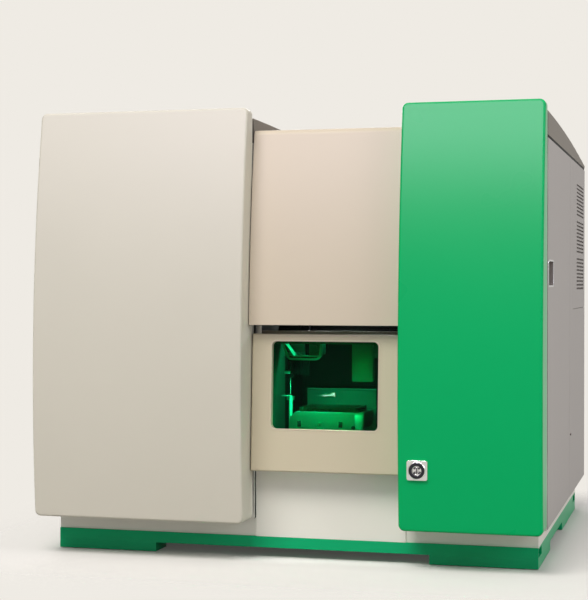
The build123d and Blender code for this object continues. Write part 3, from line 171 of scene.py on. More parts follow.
def soft_box(name, place, target, size, watts, hex_colour="#FFFFFF"):
    """A square or oblong lamp with its middle at place."""
    lamp = bpy.data.objects.new(name, bpy.data.lights.new(name, "AREA"))
    lamp.data.shape = "RECTANGLE"
    lamp.data.size, lamp.data.size_y = size
    lamp.data.energy = watts
    lamp.data.color = linear(hex_colour)[:3]
    lamp.location = place
    aim(lamp, target)
    bpy.context.scene.collection.objects.link(lamp)
    return lamp


def seen_rays(material):
    """1 for camera, glossy and transmission rays, 0 for the rays that only carry light."""
    rays = add_node(material, "LightPath")
    seen = add_node(material, "Math", {"operation": "ADD", "use_clamp": True},
                    links={0: rays.outputs["Is Camera Ray"], 1: rays.outputs["Is Glossy Ray"]})
    return add_node(material, "Math", {"operation": "ADD", "use_clamp": True},
                    links={0: seen, 1: rays.outputs["Is Transmission Ray"]})


def studio_world(fill_strength):
    """Even fill light, and a plain pale background for what the camera, gloss and glass see."""
    world = bpy.data.worlds.new("studio")
    world.use_nodes = True
    world.node_tree.nodes.clear()
    seen = seen_rays(world)
    fill = add_node(world, "Background", values={"Color": linear("#FFFFFF"), "Strength": fill_strength})
    plain = add_node(world, "Background", values={"Color": linear(BACKGROUND), "Strength": 1.0})
    mixed = add_node(world, "MixShader",
                     links={0: seen, 1: fill, 2: plain})
    add_node(world, "OutputWorld", links={"Surface": mixed})
    bpy.context.scene.world = world


def studio_floor(radius):
    """A disc on the floor plane whose paint fades out before its rim."""
    shape = bmesh.new()
    bmesh.ops.create_circle(shape, cap_ends=True, segments=96, radius=radius)
    mesh = bpy.data.meshes.new("studio_floor")
    shape.to_mesh(mesh)
    shape.free()
    floor = bpy.data.objects.new("studio_floor", mesh)
    bpy.context.scene.collection.objects.link(floor)
    paint = empty_material("studio_floor_paper")
    place = add_node(paint, "TexCoord")
    distance = add_node(paint, "VectorMath", {"operation": "LENGTH"}, links={0: place.outputs["Object"]})
    far = add_node(paint, "MapRange", {"interpolation_type": "SMOOTHSTEP"},
                   {"From Min": radius * 0.25, "From Max": radius * 0.7}, {"Value": distance.outputs["Value"]})
    sides = add_node(paint, "VectorMath", {"operation": "ABSOLUTE"}, links={0: place.outputs["Object"]})
    past = add_node(paint, "VectorMath", {"operation": "SUBTRACT"}, {1: FOOTPRINT}, {0: sides})
    outside = add_node(paint, "VectorMath", {"operation": "MAXIMUM"}, {1: (0.0, 0.0, 0.0)}, {0: past})
    step = add_node(paint, "VectorMath", {"operation": "LENGTH"}, links={0: outside})
    near = add_node(paint, "MapRange", {"interpolation_type": "SMOOTHSTEP"},
                    {"From Min": -0.06, "From Max": SHADOW_REACH}, {"Value": step.outputs["Value"]})
    seen = seen_rays(paint)
    fade = add_node(paint, "Mix", {"data_type": "FLOAT"},
                    links={0: seen, 2: far, 3: near})
    tone = blend(paint, seen, linear(FLOOR_BOUNCE), linear(FLOOR_SEEN))
    paper = add_node(paint, "BsdfDiffuse", links={"Color": tone})
    nothing = add_node(paint, "BsdfTransparent")
    show(paint, add_node(paint, "MixShader",
                         links={0: fade, 1: paper, 2: nothing}))
    mesh.materials.append(paint)


studio_world(0.34)
studio_floor(FLOOR_RADIUS)
key = soft_box("key_box", (-1.6, -6.2, 8.8), (0.0, -0.4, 0.4), (6.4, 4.2), 860.0, "#FFFCF6")
side = soft_box("side_box", (3.6, -1.6, 2.4), (0.5, 0.0, 0.5), (2.0, 2.0), 48.0, "#FFFBFA")
gloss = soft_box("gloss_box", (-0.5, -5.2, 3.3), (0.2, -0.45, 0.85), (4.4, 1.5), 640.0, "#F5EAFF")
gloss.visible_diffuse = False
soft_box("back_box", (-2.4, 5.2, 2.3), (0.0, 0.5, 0.45), (3.0, 2.0), 130.0, "#FFFDFA")
print("soft boxes:", key.data.energy, "W above and", side.data.energy, "W on the right")

# %% [markdown]
# ## Painted panels
# Nearly every outer face is paint: powder coat on folded steel, and satin or semi-gloss paint on the
# moulded doors. Paint is a plastic film, so its index of refraction is near 1.5 and it isn't
# metallic. Powder coat dries with a fine orange peel, about 2 mm from hump to hump, and sprayed
# mouldings are smoother. Panel edges are never sharp: a bevelled normal catches a thin light along
# them, and the film is a little paler and shinier there from being handled. One function draws all
# of this, and each finish gives it its own colour and gloss.

# %% Painted panels
EDGE_ROUND = 0.0012


def worn_edges(material, radius, reach=0.86):
    """The bevelled normal, and a mask that is 1 on edges and 0 on flat faces."""
    rounded = add_node(material, "Bevel", {"samples": 6}, {"Radius": radius})
    flat = add_node(material, "NewGeometry")
    agree = add_node(material, "VectorMath", {"operation": "DOT_PRODUCT"},
                     links={0: rounded, 1: flat.outputs["Normal"]})
    mask = add_node(material, "MapRange", values={"From Min": 0.985, "From Max": reach},
                    links={"Value": agree.outputs["Value"]})
    return rounded, mask


def painted(name, hex_colour, roughness, peel_mm, peel_depth, gloss=0.5, edge_hex=None, drift=0.05):
    """Paint with orange peel, a slow drift of tone across the panel, and handled edges."""
    paint = empty_material(name)
    rounded, edge = worn_edges(paint, EDGE_ROUND)
    slow = noise(paint, 260.0, 3.0)
    fine = noise(paint, peel_mm)
    base = linear(hex_colour)
    darker = tuple(c * (1.0 - drift) for c in base[:3]) + (1.0,)
    worn = blend(paint, edge, blend(paint, slow, darker, base), linear(edge_hex or hex_colour))
    handled = between(paint, edge, roughness, roughness * 0.8)
    smudge = between(paint, slow, -0.03, 0.03)
    rough = add_node(paint, "Math", {"operation": "ADD"}, links={0: handled, 1: smudge})
    peel = add_node(paint, "Bump", values={"Strength": 0.35, "Distance": peel_depth / 1000.0},
                    links={"Height": fine, "Normal": rounded})
    film = add_node(paint, "BsdfPrincipled",
                    values={"IOR": 1.5, "Specular IOR Level": gloss},
                    links={"Base Color": worn, "Roughness": rough, "Normal": peel})
    return show(paint, film)


finishes = {
    # Satin two-pack paint on the moulded left door: soft light, no mirror image.
    "cream_door_moulding": painted("satin_paint_cream", "#DAD5C9", 0.42, 4.0, 0.03, gloss=0.2, edge_hex="#E8E3D9"),
    # The same paint in a warmer shade on the folded covers in the middle.
    "beige_moulding": painted("satin_paint_beige", "#D6C8B5", 0.42, 3.0, 0.03, gloss=0.2, edge_hex="#EFE5D8"),
    # A darker, slightly olive shade on the sliding door.
    "tan_moulding": painted("satin_paint_tan", "#D3C8AF", 0.42, 3.0, 0.03, gloss=0.2, edge_hex="#E0D6C3"),
    # Semi-gloss paint on the right door: it mirrors the soft box as a broad pale gradient.
    "green_door_moulding": painted("semi_gloss_paint_green", "#00B267", 0.28, 5.0, 0.02, gloss=0.10,
                                   edge_hex="#20C486", drift=0.03),
    # Enamel on the steel plinth, sprayed and a little glossier than powder coat.
    "green_enamel": painted("enamel_green", "#00B274", 0.36, 3.0, 0.03, gloss=0.14, edge_hex="#2CC48A"),
    # Polyester powder coat on folded steel sheet.
    "cream_paint": painted("powder_coat_cream", "#F4F2EA", 0.5, 2.2, 0.06, gloss=0.25, edge_hex="#FAF8F3"),
    "grey_paint": painted("powder_coat_warm_grey", "#B2ADAB", 0.52, 2.2, 0.06, gloss=0.25, edge_hex="#CAC6C2"),
    # The roof covers have the same grain in a deeper grey-brown.
    "roof_paint": painted("powder_coat_umber_grey", "#7B746C", 0.52, 2.2, 0.06, gloss=0.25, edge_hex="#B5AEA3"),
    # The chamber is lined in a dark matt coat that swallows stray laser light. On the chamber and the
    # bulkheads this dark coat is also painted shade: it stands for the shade inside the chamber and in
    # the gap above the sliding door.
    "dark_liner": painted("powder_coat_dark_grey", "#2A2F2D", 0.6, 2.2, 0.06, gloss=0.15,
                          edge_hex="#353B38"),
}
print(len(finishes), "painted finishes")

# %% [markdown]
# ## Metals
# Bare metal has no colour of its own below the surface: all it shows is reflection, tinted by the
# metal, so metallic is 1 and the base colour is the tint. What tells one metal from another is how
# its surface was made. Rolled zinc plate has a faint spangle, brushed stainless has fine streaks
# along one direction, anodised aluminium is bead blasted first and has an even fine grain, and
# chrome is nearly a mirror.

# %% Metals
def metal(name, hex_colour, roughness, grain_mm, grain_depth, streak=(1.0, 1.0, 1.0), spread=0.08,
          kind="TexNoise"):
    """Bare metal: grain of a size in millimetres, drawn out along one axis where streak says so."""
    surface = empty_material(name)
    place = add_node(surface, "TexCoord")
    rounded, edge = worn_edges(surface, EDGE_ROUND * 0.5)
    drawn = add_node(surface, "Mapping", values={"Scale": streak}, links={"Vector": place.outputs["Object"]})
    grain = add_node(surface, kind, values={"Scale": per_mm(grain_mm)}, links={"Vector": drawn})
    base = linear(hex_colour)
    darker = tuple(c * 0.86 for c in base[:3]) + (1.0,)
    rough = between(surface, grain, max(roughness - spread, 0.02), roughness + spread)
    relief = add_node(surface, "Bump", values={"Strength": 0.3, "Distance": grain_depth / 1000.0},
                      links={"Height": grain, "Normal": rounded})
    body = add_node(surface, "BsdfPrincipled", values={"Metallic": 1.0},
                    links={"Base Color": blend(surface, grain, darker, base), "Roughness": rough,
                           "Normal": relief})
    return show(surface, body)


finishes.update({
    # Zinc-plated rolled sheet: crystals about 9 mm across, dull silver.
    "zinc_steel": metal("zinc_plated_steel", "#B9BAB7", 0.4, 9.0, 0.01, kind="TexVoronoi"),
    # Stainless steel brushed along the cabinet's width: streaks 0.8 mm wide so that they show.
    "stainless": metal("brushed_stainless_steel", "#C9C7C3", 0.28, 0.8, 0.02, streak=(0.04, 1.0, 1.0)),
    # Stainless steel blasted with glass beads: matt and pale, it catches light from all sides.
    "blasted_stainless": metal("bead_blasted_stainless_steel", "#DADAD6", 0.55, 0.8, 0.03, spread=0.05),
    # Chrome plate: nearly a mirror, with the faintest cloudiness.
    "bright_chrome": metal("chrome_plate", "#DFE0DE", 0.09, 14.0, 0.002, spread=0.03),
    # Bead-blasted, clear-anodised aluminium.
    "anodised": metal("clear_anodised_aluminium", "#C6C8CA", 0.36, 0.9, 0.02, spread=0.05),
    # Black-anodised aluminium, used wherever stray light must be swallowed. On the gantry beam and the
    # lock ring it is painted shade.
    "black_anodised": metal("black_anodised_aluminium", "#2A2B2D", 0.42, 0.9, 0.02, spread=0.06),
})
print(len(finishes), "finishes with the metals")

# %% [markdown]
# ## Plastics, rubber and glass
# Moulded plastic takes its texture from the tool: spark-eroded steel leaves a fine matt grain of
# about a millimetre. The window is acrylic sheet dyed green to block the laser light: its tint is in
# the base colour of a transmissive shader, because the colour has to filter what is behind it.

# %% Plastics, rubber and glass
def moulded(name, hex_colour, roughness, grain_mm, grain_depth, ior=1.52):
    """Moulded plastic or rubber with the even grain of its tool."""
    surface = empty_material(name)
    rounded, edge = worn_edges(surface, EDGE_ROUND * 0.6)
    grain = noise(surface, grain_mm, 1.0)
    base = linear(hex_colour)
    paler = tuple(min(c * 1.25 + 0.004, 1.0) for c in base[:3]) + (1.0,)
    rough = between(surface, noise(surface, 70.0), roughness - 0.06, roughness + 0.06)
    relief = add_node(surface, "Bump", values={"Strength": 0.4, "Distance": grain_depth / 1000.0},
                      links={"Height": grain, "Normal": rounded})
    body = add_node(surface, "BsdfPrincipled", values={"IOR": ior},
                    links={"Base Color": blend(surface, edge, base, paler), "Roughness": rough,
                           "Normal": relief})
    return show(surface, body)


def clear(name, hex_colour, ior, roughness, glare=1.0):
    """A polished see-through piece with wiping marks; glare is how much of its mirror image stays."""
    surface = empty_material(name)
    rough = between(surface, noise(surface, 30.0, 4.0), roughness, roughness + 0.04)
    body = add_node(surface, "BsdfPrincipled",
                    values={"Base Color": linear(hex_colour), "IOR": ior, "Transmission Weight": 1.0,
                            "Specular Tint": (glare, glare, glare, 1.0)},
                    links={"Roughness": rough})
    return show(surface, body)


finishes.update({
    # ABS with a fine spark grain: fan frames, caps, inlet.
    "black_plastic": moulded("abs_black", "#1B1C1C", 0.5, 1.0, 0.03, ior=1.54),
    # The same plastic in mid grey: the cup of the flush pull and the housing of the reader.
    "grey_plastic": moulded("abs_grey", "#8C8480", 0.5, 1.0, 0.03, ior=1.54),
    # Polypropylene and ABS in white: valves, lamp diffuser.
    "white_plastic": moulded("abs_white", "#E3E3DC", 0.42, 1.0, 0.02, ior=1.54),
    # Closed-cell rubber for the seals and the foot pads: dull, with open pores where it was cut.
    "seal_foam": moulded("cellular_rubber_black", "#18191A", 0.85, 1.2, 0.15, ior=1.52),
    # Free-cutting brass, turned: a dull gold with a fine grain.
    "brass": metal("brass_turned", "#C9A963", 0.3, 1.0, 0.01),
    # Tinted epoxy over a chip: the small lamps on lasers and cards, which are drawn unlit.
    "lamp_green": moulded("epoxy_lamp_green", "#35D07A", 0.25, 1.0, 0.005),
    "lamp_amber": moulded("epoxy_lamp_amber", "#F0A22E", 0.25, 1.0, 0.005),
    # Open-cell polyurethane foam, 3 mm cells drawn large enough to see: the vent's filter mat.
    "filter_foam": moulded("polyurethane_foam_grey", "#78726F", 0.9, 3.0, 0.6),
    # Acrylic sheet dyed green, with a coat against glare.
    "green_tint": clear("acrylic_dyed_green", "#04BE70", 1.49, 0.0, glare=0.08),
    # Polystyrene, the clear plastic that well plates are moulded from.
    "clear_plastic": clear("polystyrene_clear", "#DCE6DF", 1.59, 0.12, glare=0.6),
})
print(len(finishes), "finishes with the plastics")

# %% [markdown]
# ## Two finishes that change with height
# The flow cell is one column: a steel foot, the quartz cell and a steel head. The fluid tanks are
# blow-moulded polyethylene, milky above the fluid and darker below it. In both, the height in the
# object's own coordinates decides. A Map Range node takes heights in metres as they are, so the
# levels can be read in the code.

# %% Flow cell and filled tanks
def above(material, level, blur):
    """0 below a height in metres and 1 above it, with a soft step."""
    place = add_node(material, "TexCoord")
    axes = add_node(material, "SeparateXYZ", links={"Vector": place.outputs["Object"]})
    return add_node(material, "MapRange", values={"From Min": level - blur, "From Max": level + blur},
                    links={"Value": axes.outputs["Z"]})


def quartz_in_steel(foot_top, head_bottom):
    """Quartz between two heights, and brushed steel above and below it."""
    surface = empty_material("fused_quartz_in_steel")
    over_foot = above(surface, foot_top, 0.0004)
    over_cell = above(surface, head_bottom, 0.0004)
    quartz = add_node(surface, "Math", {"operation": "SUBTRACT", "use_clamp": True},
                      links={0: over_foot, 1: over_cell})
    steel = add_node(surface, "Math", {"operation": "SUBTRACT"}, {0: 1.0}, {1: quartz})
    tint = blend(surface, quartz, linear("#BFC0BE"), linear("#F2F7F5"))
    rough = between(surface, quartz, 0.32, 0.02)
    body = add_node(surface, "BsdfPrincipled", values={"IOR": 1.46},
                    links={"Base Color": tint, "Roughness": rough,
                           "Metallic": steel, "Transmission Weight": quartz})
    return show(surface, body)


def filled_tank(level):
    """Natural polyethylene, greyer where fluid stands behind the wall."""
    surface = empty_material("polyethylene_tank_filled")
    cloud = noise(surface, 40.0, 3.0)
    wet = blend(surface, cloud, linear("#B4C3C4"), linear("#C2CFCE"))
    tint = blend(surface, above(surface, level, 0.0015), wet, linear("#E4E7DE"))
    relief = add_node(surface, "Bump", values={"Strength": 0.3, "Distance": 0.00005},
                      links={"Height": noise(surface, 3.0)})
    rough = between(surface, cloud, 0.36, 0.46)
    body = add_node(surface, "BsdfPrincipled",
                    values={"IOR": 1.53, "Subsurface Weight": 0.25, "Subsurface Scale": 0.01},
                    links={"Base Color": tint, "Roughness": rough, "Normal": relief})
    return show(surface, body)


finishes["clear_glass"] = quartz_in_steel(0.504, 0.548)
finishes["tank_plastic"] = filled_tank(0.285)
print(len(finishes), "finishes in all")

# %% [markdown]
# ## Finishes on the solid model
# The record says which finish each node takes. Walking through that list keeps the picture and the
# record in step: a node that the record paints cream can't come out grey here. A few nodes take a
# closer shade of their own material, such as bead-blasted instead of brushed stainless steel. The
# gantry beam takes black anodising as painted shade for the gap above the sliding door.

# %% Put the finishes on
# The gantry beam is black anodised as painted shade: it stands for the shade in the gap above the sliding door.
own_shade = {"side_door_pull": "grey_plastic", "barcode_reader": "grey_plastic", "probe_arm": "blasted_stainless",
             "wash_station": "blasted_stainless", "gantry_beam": "black_anodised"}
for entry in frame["record"]["subparts"]:
    mesh = nodes[entry["node"]].data
    mesh.materials.clear()
    mesh.materials.append(finishes[own_shade.get(entry["node"], entry["material_slot"])])

# %% [markdown]
# ## A kit for small hardware
# Screws, collars and covers are turned or milled, so three helpers cover nearly all of them. One
# turns a profile round an axis as a lathe does, one mills a block and rounds its edges, and one
# closes a shape into an object that rides on its body. A piece of hardware is then a few lines, and
# no plain cube or cylinder is left to look like a stand-in.

# %% Hardware helpers
def lathe(shape, place, axis, profile, steps=20):
    """Turns a profile of (along, radius) pairs, in metres, round an axis that starts at place."""
    axis = Vector(axis).normalized()
    across = axis.orthogonal().normalized()
    other = axis.cross(across)
    angles = [2 * math.pi * i / steps for i in range(steps)]
    rings = []
    for along, radius in profile:
        centre = Vector(place) + axis * along
        spokes = [across * math.cos(a) + other * math.sin(a) for a in angles] if radius else [Vector()]
        rings.append([shape.verts.new(centre + spoke * radius) for spoke in spokes])
    for first, second in zip(rings, rings[1:]):
        for i in range(steps):
            corners = [first[i % len(first)], first[(i + 1) % len(first)],
                       second[(i + 1) % len(second)], second[i % len(second)]]
            corners = list(dict.fromkeys(corners))
            if len(corners) > 2:
                shape.faces.new(corners)


def block(shape, low, high, radius, rounds=2):
    """A block between two corners, with its edges rounded to a radius."""
    corners = bmesh.ops.create_cube(shape, size=1.0)["verts"]
    low, high = Vector(low), Vector(high)
    for corner in corners:
        corner.co = (low + high) / 2 + Vector(c * s for c, s in zip(corner.co, high - low))
    edges = list({edge for corner in corners for edge in corner.link_edges})
    bmesh.ops.bevel(shape, geom=edges, offset=radius, segments=rounds, profile=0.5, affect="EDGES")


def bar(shape, start, end, radius, steps=14):
    """A round bar or tube between two points, with softened ends."""
    length = (Vector(end) - Vector(start)).length
    soft = radius * 0.35
    lathe(shape, start, Vector(end) - Vector(start),
          [(0, 0), (0, radius - soft), (soft, radius), (length - soft, radius), (length, radius - soft), (length, 0)],
          steps)


def made(name, shape, finish, body="cabinet", corner=35.0):
    """Closes the shape into an object with one finish, smooth up to a corner angle, riding on a body."""
    bmesh.ops.recalc_face_normals(shape, faces=shape.faces)
    mesh = bpy.data.meshes.new(name)
    shape.to_mesh(mesh)
    shape.free()
    mesh.materials.append(finishes[finish])
    mesh.shade_smooth()
    mesh.set_sharp_from_angle(angle=math.radians(corner))
    thing = bpy.data.objects.new(name, mesh)
    bpy.context.scene.collection.objects.link(thing)
    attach(thing, body)
    return thing


def shapes(count):
    """Several empty shapes at once, for pieces that are built side by side."""
    return [bmesh.new() for _ in range(count)]


def socket_screws(name, places, axis, head, body="cabinet", finish="stainless"):
    """Cap screws with a hexagon socket; head is the radius of the head in metres."""
    shape = bmesh.new()
    for place in places:
        rim = [(0, head), (head * 0.75, head), (head * 0.95, head * 0.85), (head * 0.95, head * 0.5)]
        lathe(shape, place, axis, rim, 16)
        lathe(shape, place, axis, [(head * 0.95, head * 0.5), (head * 0.4, head * 0.45), (head * 0.4, 0)], 6)
    return made(name, shape, finish, body)


print("three ways to make hardware, and one to finish it")

# %% [markdown]
# ## Light inside the sample chamber
# A white strip lamp under the roof of the chamber shows the operator the sample. Through the dyed
# window only its green part comes out, which is why the tray glows green. Small area lamps do the
# lighting, and the diffuser itself is not made to glow, because a glowing mesh would need many more
# samples to come out clean. A second strip sits behind the window, above the tray, as a reading
# lamp does: it lights the tray's front face. Neither lamp itself shows to the camera.

# %% Chamber lamps
lamp_low, lamp_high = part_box("chamber_lamp")
lamp_middle = (lamp_low + lamp_high) / 2
tray_low, tray_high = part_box("plate_carrier")
tray_middle = (tray_low + tray_high) / 2
lamp_light = soft_box("chamber_light", (tray_middle.x, lamp_middle.y, lamp_low.z - 0.004),
                      (tray_middle.x - 0.02, tray_middle.y - 0.02, tray_high.z), (0.2, 0.016), 0.55)
lamp_light.data.spread = math.radians(100.0)
front_light = soft_box("chamber_front_light", (tray_middle.x - 0.03, -0.401, 0.335),
                       (tray_middle.x - 0.01, tray_low.y + 0.012, 0.272), (0.13, 0.012), 0.55)
for lamp in (lamp_light, front_light):
    lamp.visible_camera = False
print("chamber lamp hangs at", round(lamp_low.z, 3), "m")

# %% [markdown]
# ## The needle and its wash station
# The robot's needle hangs from a bent sheet arm. Two steel collars clamp it: one on the holder, which
# dips with it, and one on the wash station, where the needle parks and is rinsed. A white PTFE tube
# runs up the front of the wash station, and another lies along the front edge of the arm and follows
# its bends. A small pinch valve sits on the arm above the bend. These pieces are only a few
# millimetres large, but they are what catches the light behind the window.

# %% Needle hardware
holder_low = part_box("needle_holder")[0]
wash_low, wash_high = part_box("wash_station")
arm_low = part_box("probe_arm")[0]
shape = bmesh.new()
block(shape, (holder_low.x - 0.003, holder_low.y - 0.002, 0.3680),
      (holder_low.x + 0.010, holder_low.y + 0.012, 0.3735), 0.001)
pin_x = holder_low.x - 0.001
bar(shape, (pin_x, holder_low.y - 0.003, 0.3707), (pin_x, holder_low.y + 0.001, 0.3707), 0.0016)
made("needle_clamp", shape, "blasted_stainless", "probe")
shape = bmesh.new()
block(shape, (wash_low.x - 0.002, wash_low.y - 0.002, wash_high.z + 0.0003),
      (wash_high.x - 0.007, wash_low.y + 0.010, wash_high.z + 0.0030), 0.0008)
made("wash_clamp", shape, "blasted_stainless")
shape = bmesh.new()
tube_x, tube_y = wash_high.x - 0.0045, wash_low.y - 0.0036
bar(shape, (tube_x, tube_y, 0.182), (tube_x, tube_y, wash_high.z + 0.003), 0.0036)
made("wash_tube", shape, "white_plastic")
shape = bmesh.new()
block(shape, (0.016, arm_low.y + 0.014, arm_low.z + 0.003), (0.042, arm_low.y + 0.058, arm_low.z + 0.030), 0.003)
lathe(shape, (0.029, arm_low.y + 0.014, arm_low.z + 0.017), (0, -1, 0),
      [(0, 0.007), (0.006, 0.007), (0.007, 0.0055), (0.007, 0)], 18)
made("pinch_valve", shape, "grey_plastic", "probe")
shape = bmesh.new()
lip_y = arm_low.y - 0.0012
lip = [(-0.0425, 0.4480), (-0.0240, 0.4020), (-0.0195, 0.3995), (0.0370, 0.3995), (0.0440, 0.4040), (0.0475, 0.4370)]
for (x0, z0), (x1, z1) in zip(lip, lip[1:]):
    bar(shape, (x0, lip_y, z0), (x1, lip_y, z1), 0.0024)
made("arm_lip", shape, "white_plastic", "probe")
socket_screws("arm_screws", [(-0.004, arm_low.y + y, arm_low.z + 0.0022) for y in (0.012, 0.040)],
              (0, 0, 1), 0.003, "probe")
print("needle hardware made")

# %% [markdown]
# ## The drip wall and the tray's corner clamps
# Behind the stage a folded sheet keeps splashes off the back of the chamber, and its top edge is
# hemmed so that it can't cut a hand. The tray holds a plate by a spring corner on its right. In
# front, two black leaf pads and a round black button are painted shade: they put dark notches where
# holes in the tray's front edge lie in shade. A screwed cover closes the left wall of the chamber
# beside the wash station.

# %% Drip wall and clamps
WALL_LEFT, WALL_RIGHT = -0.026, 0.127
shape = bmesh.new()
block(shape, (WALL_LEFT, -0.1510, 0.1775), (WALL_RIGHT, -0.1495, 0.326), 0.0006)
bar(shape, (WALL_LEFT, -0.1502, 0.3265), (WALL_RIGHT, -0.1502, 0.3265), 0.0022)
block(shape, (WALL_LEFT, -0.1495, 0.1765), (WALL_RIGHT, -0.1300, 0.1782), 0.0006)
made("drip_wall", shape, "grey_plastic")
shape = bmesh.new()
block(shape, (-0.0718, -0.290, 0.200), (-0.0706, -0.172, 0.428), 0.0005)
made("rinse_cover", shape, "grey_plastic")
socket_screws("rinse_cover_screws", [(-0.0706, y, z) for y in (-0.282, -0.180) for z in (0.210, 0.315, 0.420)],
              (1, 0, 0), 0.0026)
# Black pads and button: painted shade for the dark holes in the tray's front edge.
shape = bmesh.new()
for x in (0.0065, 0.093):
    block(shape, (x, tray_low.y - 0.0022, 0.2635), (x + 0.008, tray_low.y + 0.001, 0.2755), 0.001)
lathe(shape, (0.124, tray_low.y - 0.0002, 0.264), (0, -1, 0),
      [(0, 0.004), (0.003, 0.004), (0.0036, 0.003), (0.0036, 0)], 16)
made("tray_pads_painted_shade", shape, "black_plastic", "stage")
shape = bmesh.new()
block(shape, (tray_high.x - 0.018, tray_low.y - 0.0020, 0.2600),
      (tray_high.x - 0.001, tray_low.y + 0.0005, 0.2900), 0.0008)
made("tray_spring", shape, "blasted_stainless", "stage")
socket_screws("tray_screw", [(0.0525, tray_low.y - 0.0001, 0.2700)], (0, -1, 0), 0.0028, "stage")
print("tray hardware made")

# %% [markdown]
# ## The bead round the window
# The opening in the sliding door has a rolled edge, which shows as a thin pale line all round it.
# The door leans back a little, so the bead is drawn flat, as across and up the door, and each of its
# points is then laid on the leaning face.

# %% Window bead
DOOR_LEAN = math.radians(3.1)
DOOR_FOOT = (-0.438767, 0.180)      # the door's front face at its lower edge: y and z


def rounded_outline(left, right, bottom, top, radius, steps=8):
    """Points round a rectangle with rounded corners, as (across, up) pairs."""
    points = []
    for x, z, start in ((right - radius, bottom + radius, -90), (right - radius, top - radius, 0),
                        (left + radius, top - radius, 90), (left + radius, bottom + radius, 180)):
        for i in range(steps + 1):
            angle = math.radians(start + 90 * i / steps)
            points.append((x + radius * math.cos(angle), z + radius * math.sin(angle)))
    return points


def ring_strip(shape, outlines, lay):
    """A closed strip through several outlines with a height each; lay turns (u, v, height) into a place."""
    rings = [[shape.verts.new(lay(u, v, height)) for u, v in outline] for outline, height in outlines]
    for first, second in zip(rings, rings[1:]):
        for i in range(len(first)):
            j = (i + 1) % len(first)
            shape.faces.new((first[i], first[j], second[j], second[i]))


def bead(shape, box, radius, width, height, lay):
    """A rounded bead whose inner edge follows a rounded rectangle, given as left, right, bottom, top."""
    left, right, bottom, top = box
    outlines = []
    for push, proud in ((0.0, -0.3), (0.0, 0.5), (0.25, 0.9), (0.5, 1.0), (0.75, 0.9), (1.0, 0.5), (1.0, -0.3)):
        grow = push * width
        outline = rounded_outline(left - grow, right + grow, bottom - grow, top + grow, radius + grow)
        outlines.append((outline, proud * height))
    ring_strip(shape, outlines, lay)


def on_sliding_door(across, up, proud):
    """A point on the leaning front face of the sliding door."""
    return (across, DOOR_FOOT[0] + up * math.sin(DOOR_LEAN) - proud * math.cos(DOOR_LEAN),
            DOOR_FOOT[1] + up * math.cos(DOOR_LEAN) + proud * math.sin(DOOR_LEAN))


window = (-0.0285, 0.1895, 0.0854, 0.2604)
shape = bmesh.new()
bead(shape, window, 0.010, 0.0024, 0.0006, on_sliding_door)
made("window_bead", shape, "beige_moulding", "sample_door")
print("bead round a window of", round(window[1] - window[0], 4), "by", round(window[3] - window[2], 4), "m")

# %% [markdown]
# ## The lock
# The quarter-turn lock has a round barrel in a chrome plate. A black ring runs round the barrel: its
# black is painted shade for the gap between barrel and plate. A key slot with four pin holes crosses
# its face, drawn black as painted shade for the slot and the holes. The ring belongs to the door and
# the slot turns with the barrel, so they ride on different bodies.

# %% Lock ring and slot
rotor_low, rotor_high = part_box("lock_rotor")
lock_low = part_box("lock_plate")[0]
lock_x = (rotor_low.x + rotor_high.x) / 2
lock_z = 0.198
barrel = (rotor_high.x - rotor_low.x) / 2
# Black ring: painted shade for the gap between the barrel and the plate.
shape = bmesh.new()
lathe(shape, (lock_x, lock_low.y + 0.0002, lock_z), (0, -1, 0),
      [(-0.001, barrel + 0.0003), (0.0003, barrel + 0.0003), (0.0009, barrel + 0.0030), (0.0003, barrel + 0.0066),
       (-0.001, barrel + 0.0066)], 36)
made("lock_ring_painted_shade", shape, "black_anodised", "right_door")
# Black slot and pin holes: painted shade for their recesses.
shape = bmesh.new()
face = rotor_low.y
block(shape, (lock_x - 0.0012, face - 0.0004, lock_z - 0.0060),
      (lock_x + 0.0012, face + 0.0008, lock_z + 0.0060), 0.0003)
for turn in (45, 135, 225, 315):
    across, up = math.cos(math.radians(turn)), math.sin(math.radians(turn))
    at = (lock_x + 0.0062 * across, face + 0.0002, lock_z + 0.0062 * up)
    lathe(shape, at, (0, -1, 0), [(0, 0.0021), (0.0004, 0.0019), (0.0004, 0)], 12)
made("key_slot_painted_shade", shape, "black_plastic", "door_lock")
print("lock barrel is", round(barrel * 2000, 1), "mm across")

# %% [markdown]
# ## The flush pull, the vents and the roof gap
# The cup of the pull is set in a thin frame that catches the light on its edges. Behind the louvres
# of the vent lies a mat of grey filter foam, which is why the slots look grey and not black. Under
# the roof cover runs a black rubber strip that closes the gap to the side panels; its black is also
# painted shade for that gap.

# %% Side hardware
pull_low, pull_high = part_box("side_door_pull")
side_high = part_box("side_door_panel")[1]


def on_right_side(across, up, proud):
    """A point on the flat face of the right side; across runs to the back."""
    return (side_high.x + proud, across, up)


shape = bmesh.new()
bead(shape, (pull_low.y + 0.003, pull_high.y - 0.003, pull_low.z + 0.003, pull_high.z - 0.003), 0.004, 0.0030, 0.0012,
     on_right_side)
made("pull_frame", shape, "anodised", "side_door")
vent_low, vent_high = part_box("right_vent_panel")
shape = bmesh.new()
block(shape, (vent_low.x - 0.0032, vent_low.y + 0.012, vent_low.z + 0.008),
      (vent_low.x - 0.0004, vent_high.y - 0.012, vent_high.z - 0.010), 0.0008)
made("vent_filter", shape, "filter_foam")
deck_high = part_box("top_deck")[1]
# Black strip in the roof gap: painted shade for the shadow in that gap.
shape = bmesh.new()
for x0, x1 in ((side_high.x - 0.0032, side_high.x - 0.0006), (-side_high.x + 0.0006, -side_high.x + 0.0032)):
    block(shape, (x0, -0.398, side_high.z + 0.0008), (x1, 0.494, deck_high.z - 0.0006), 0.0005)
made("roof_gap_painted_shade", shape, "seal_foam")
print("side hardware made")

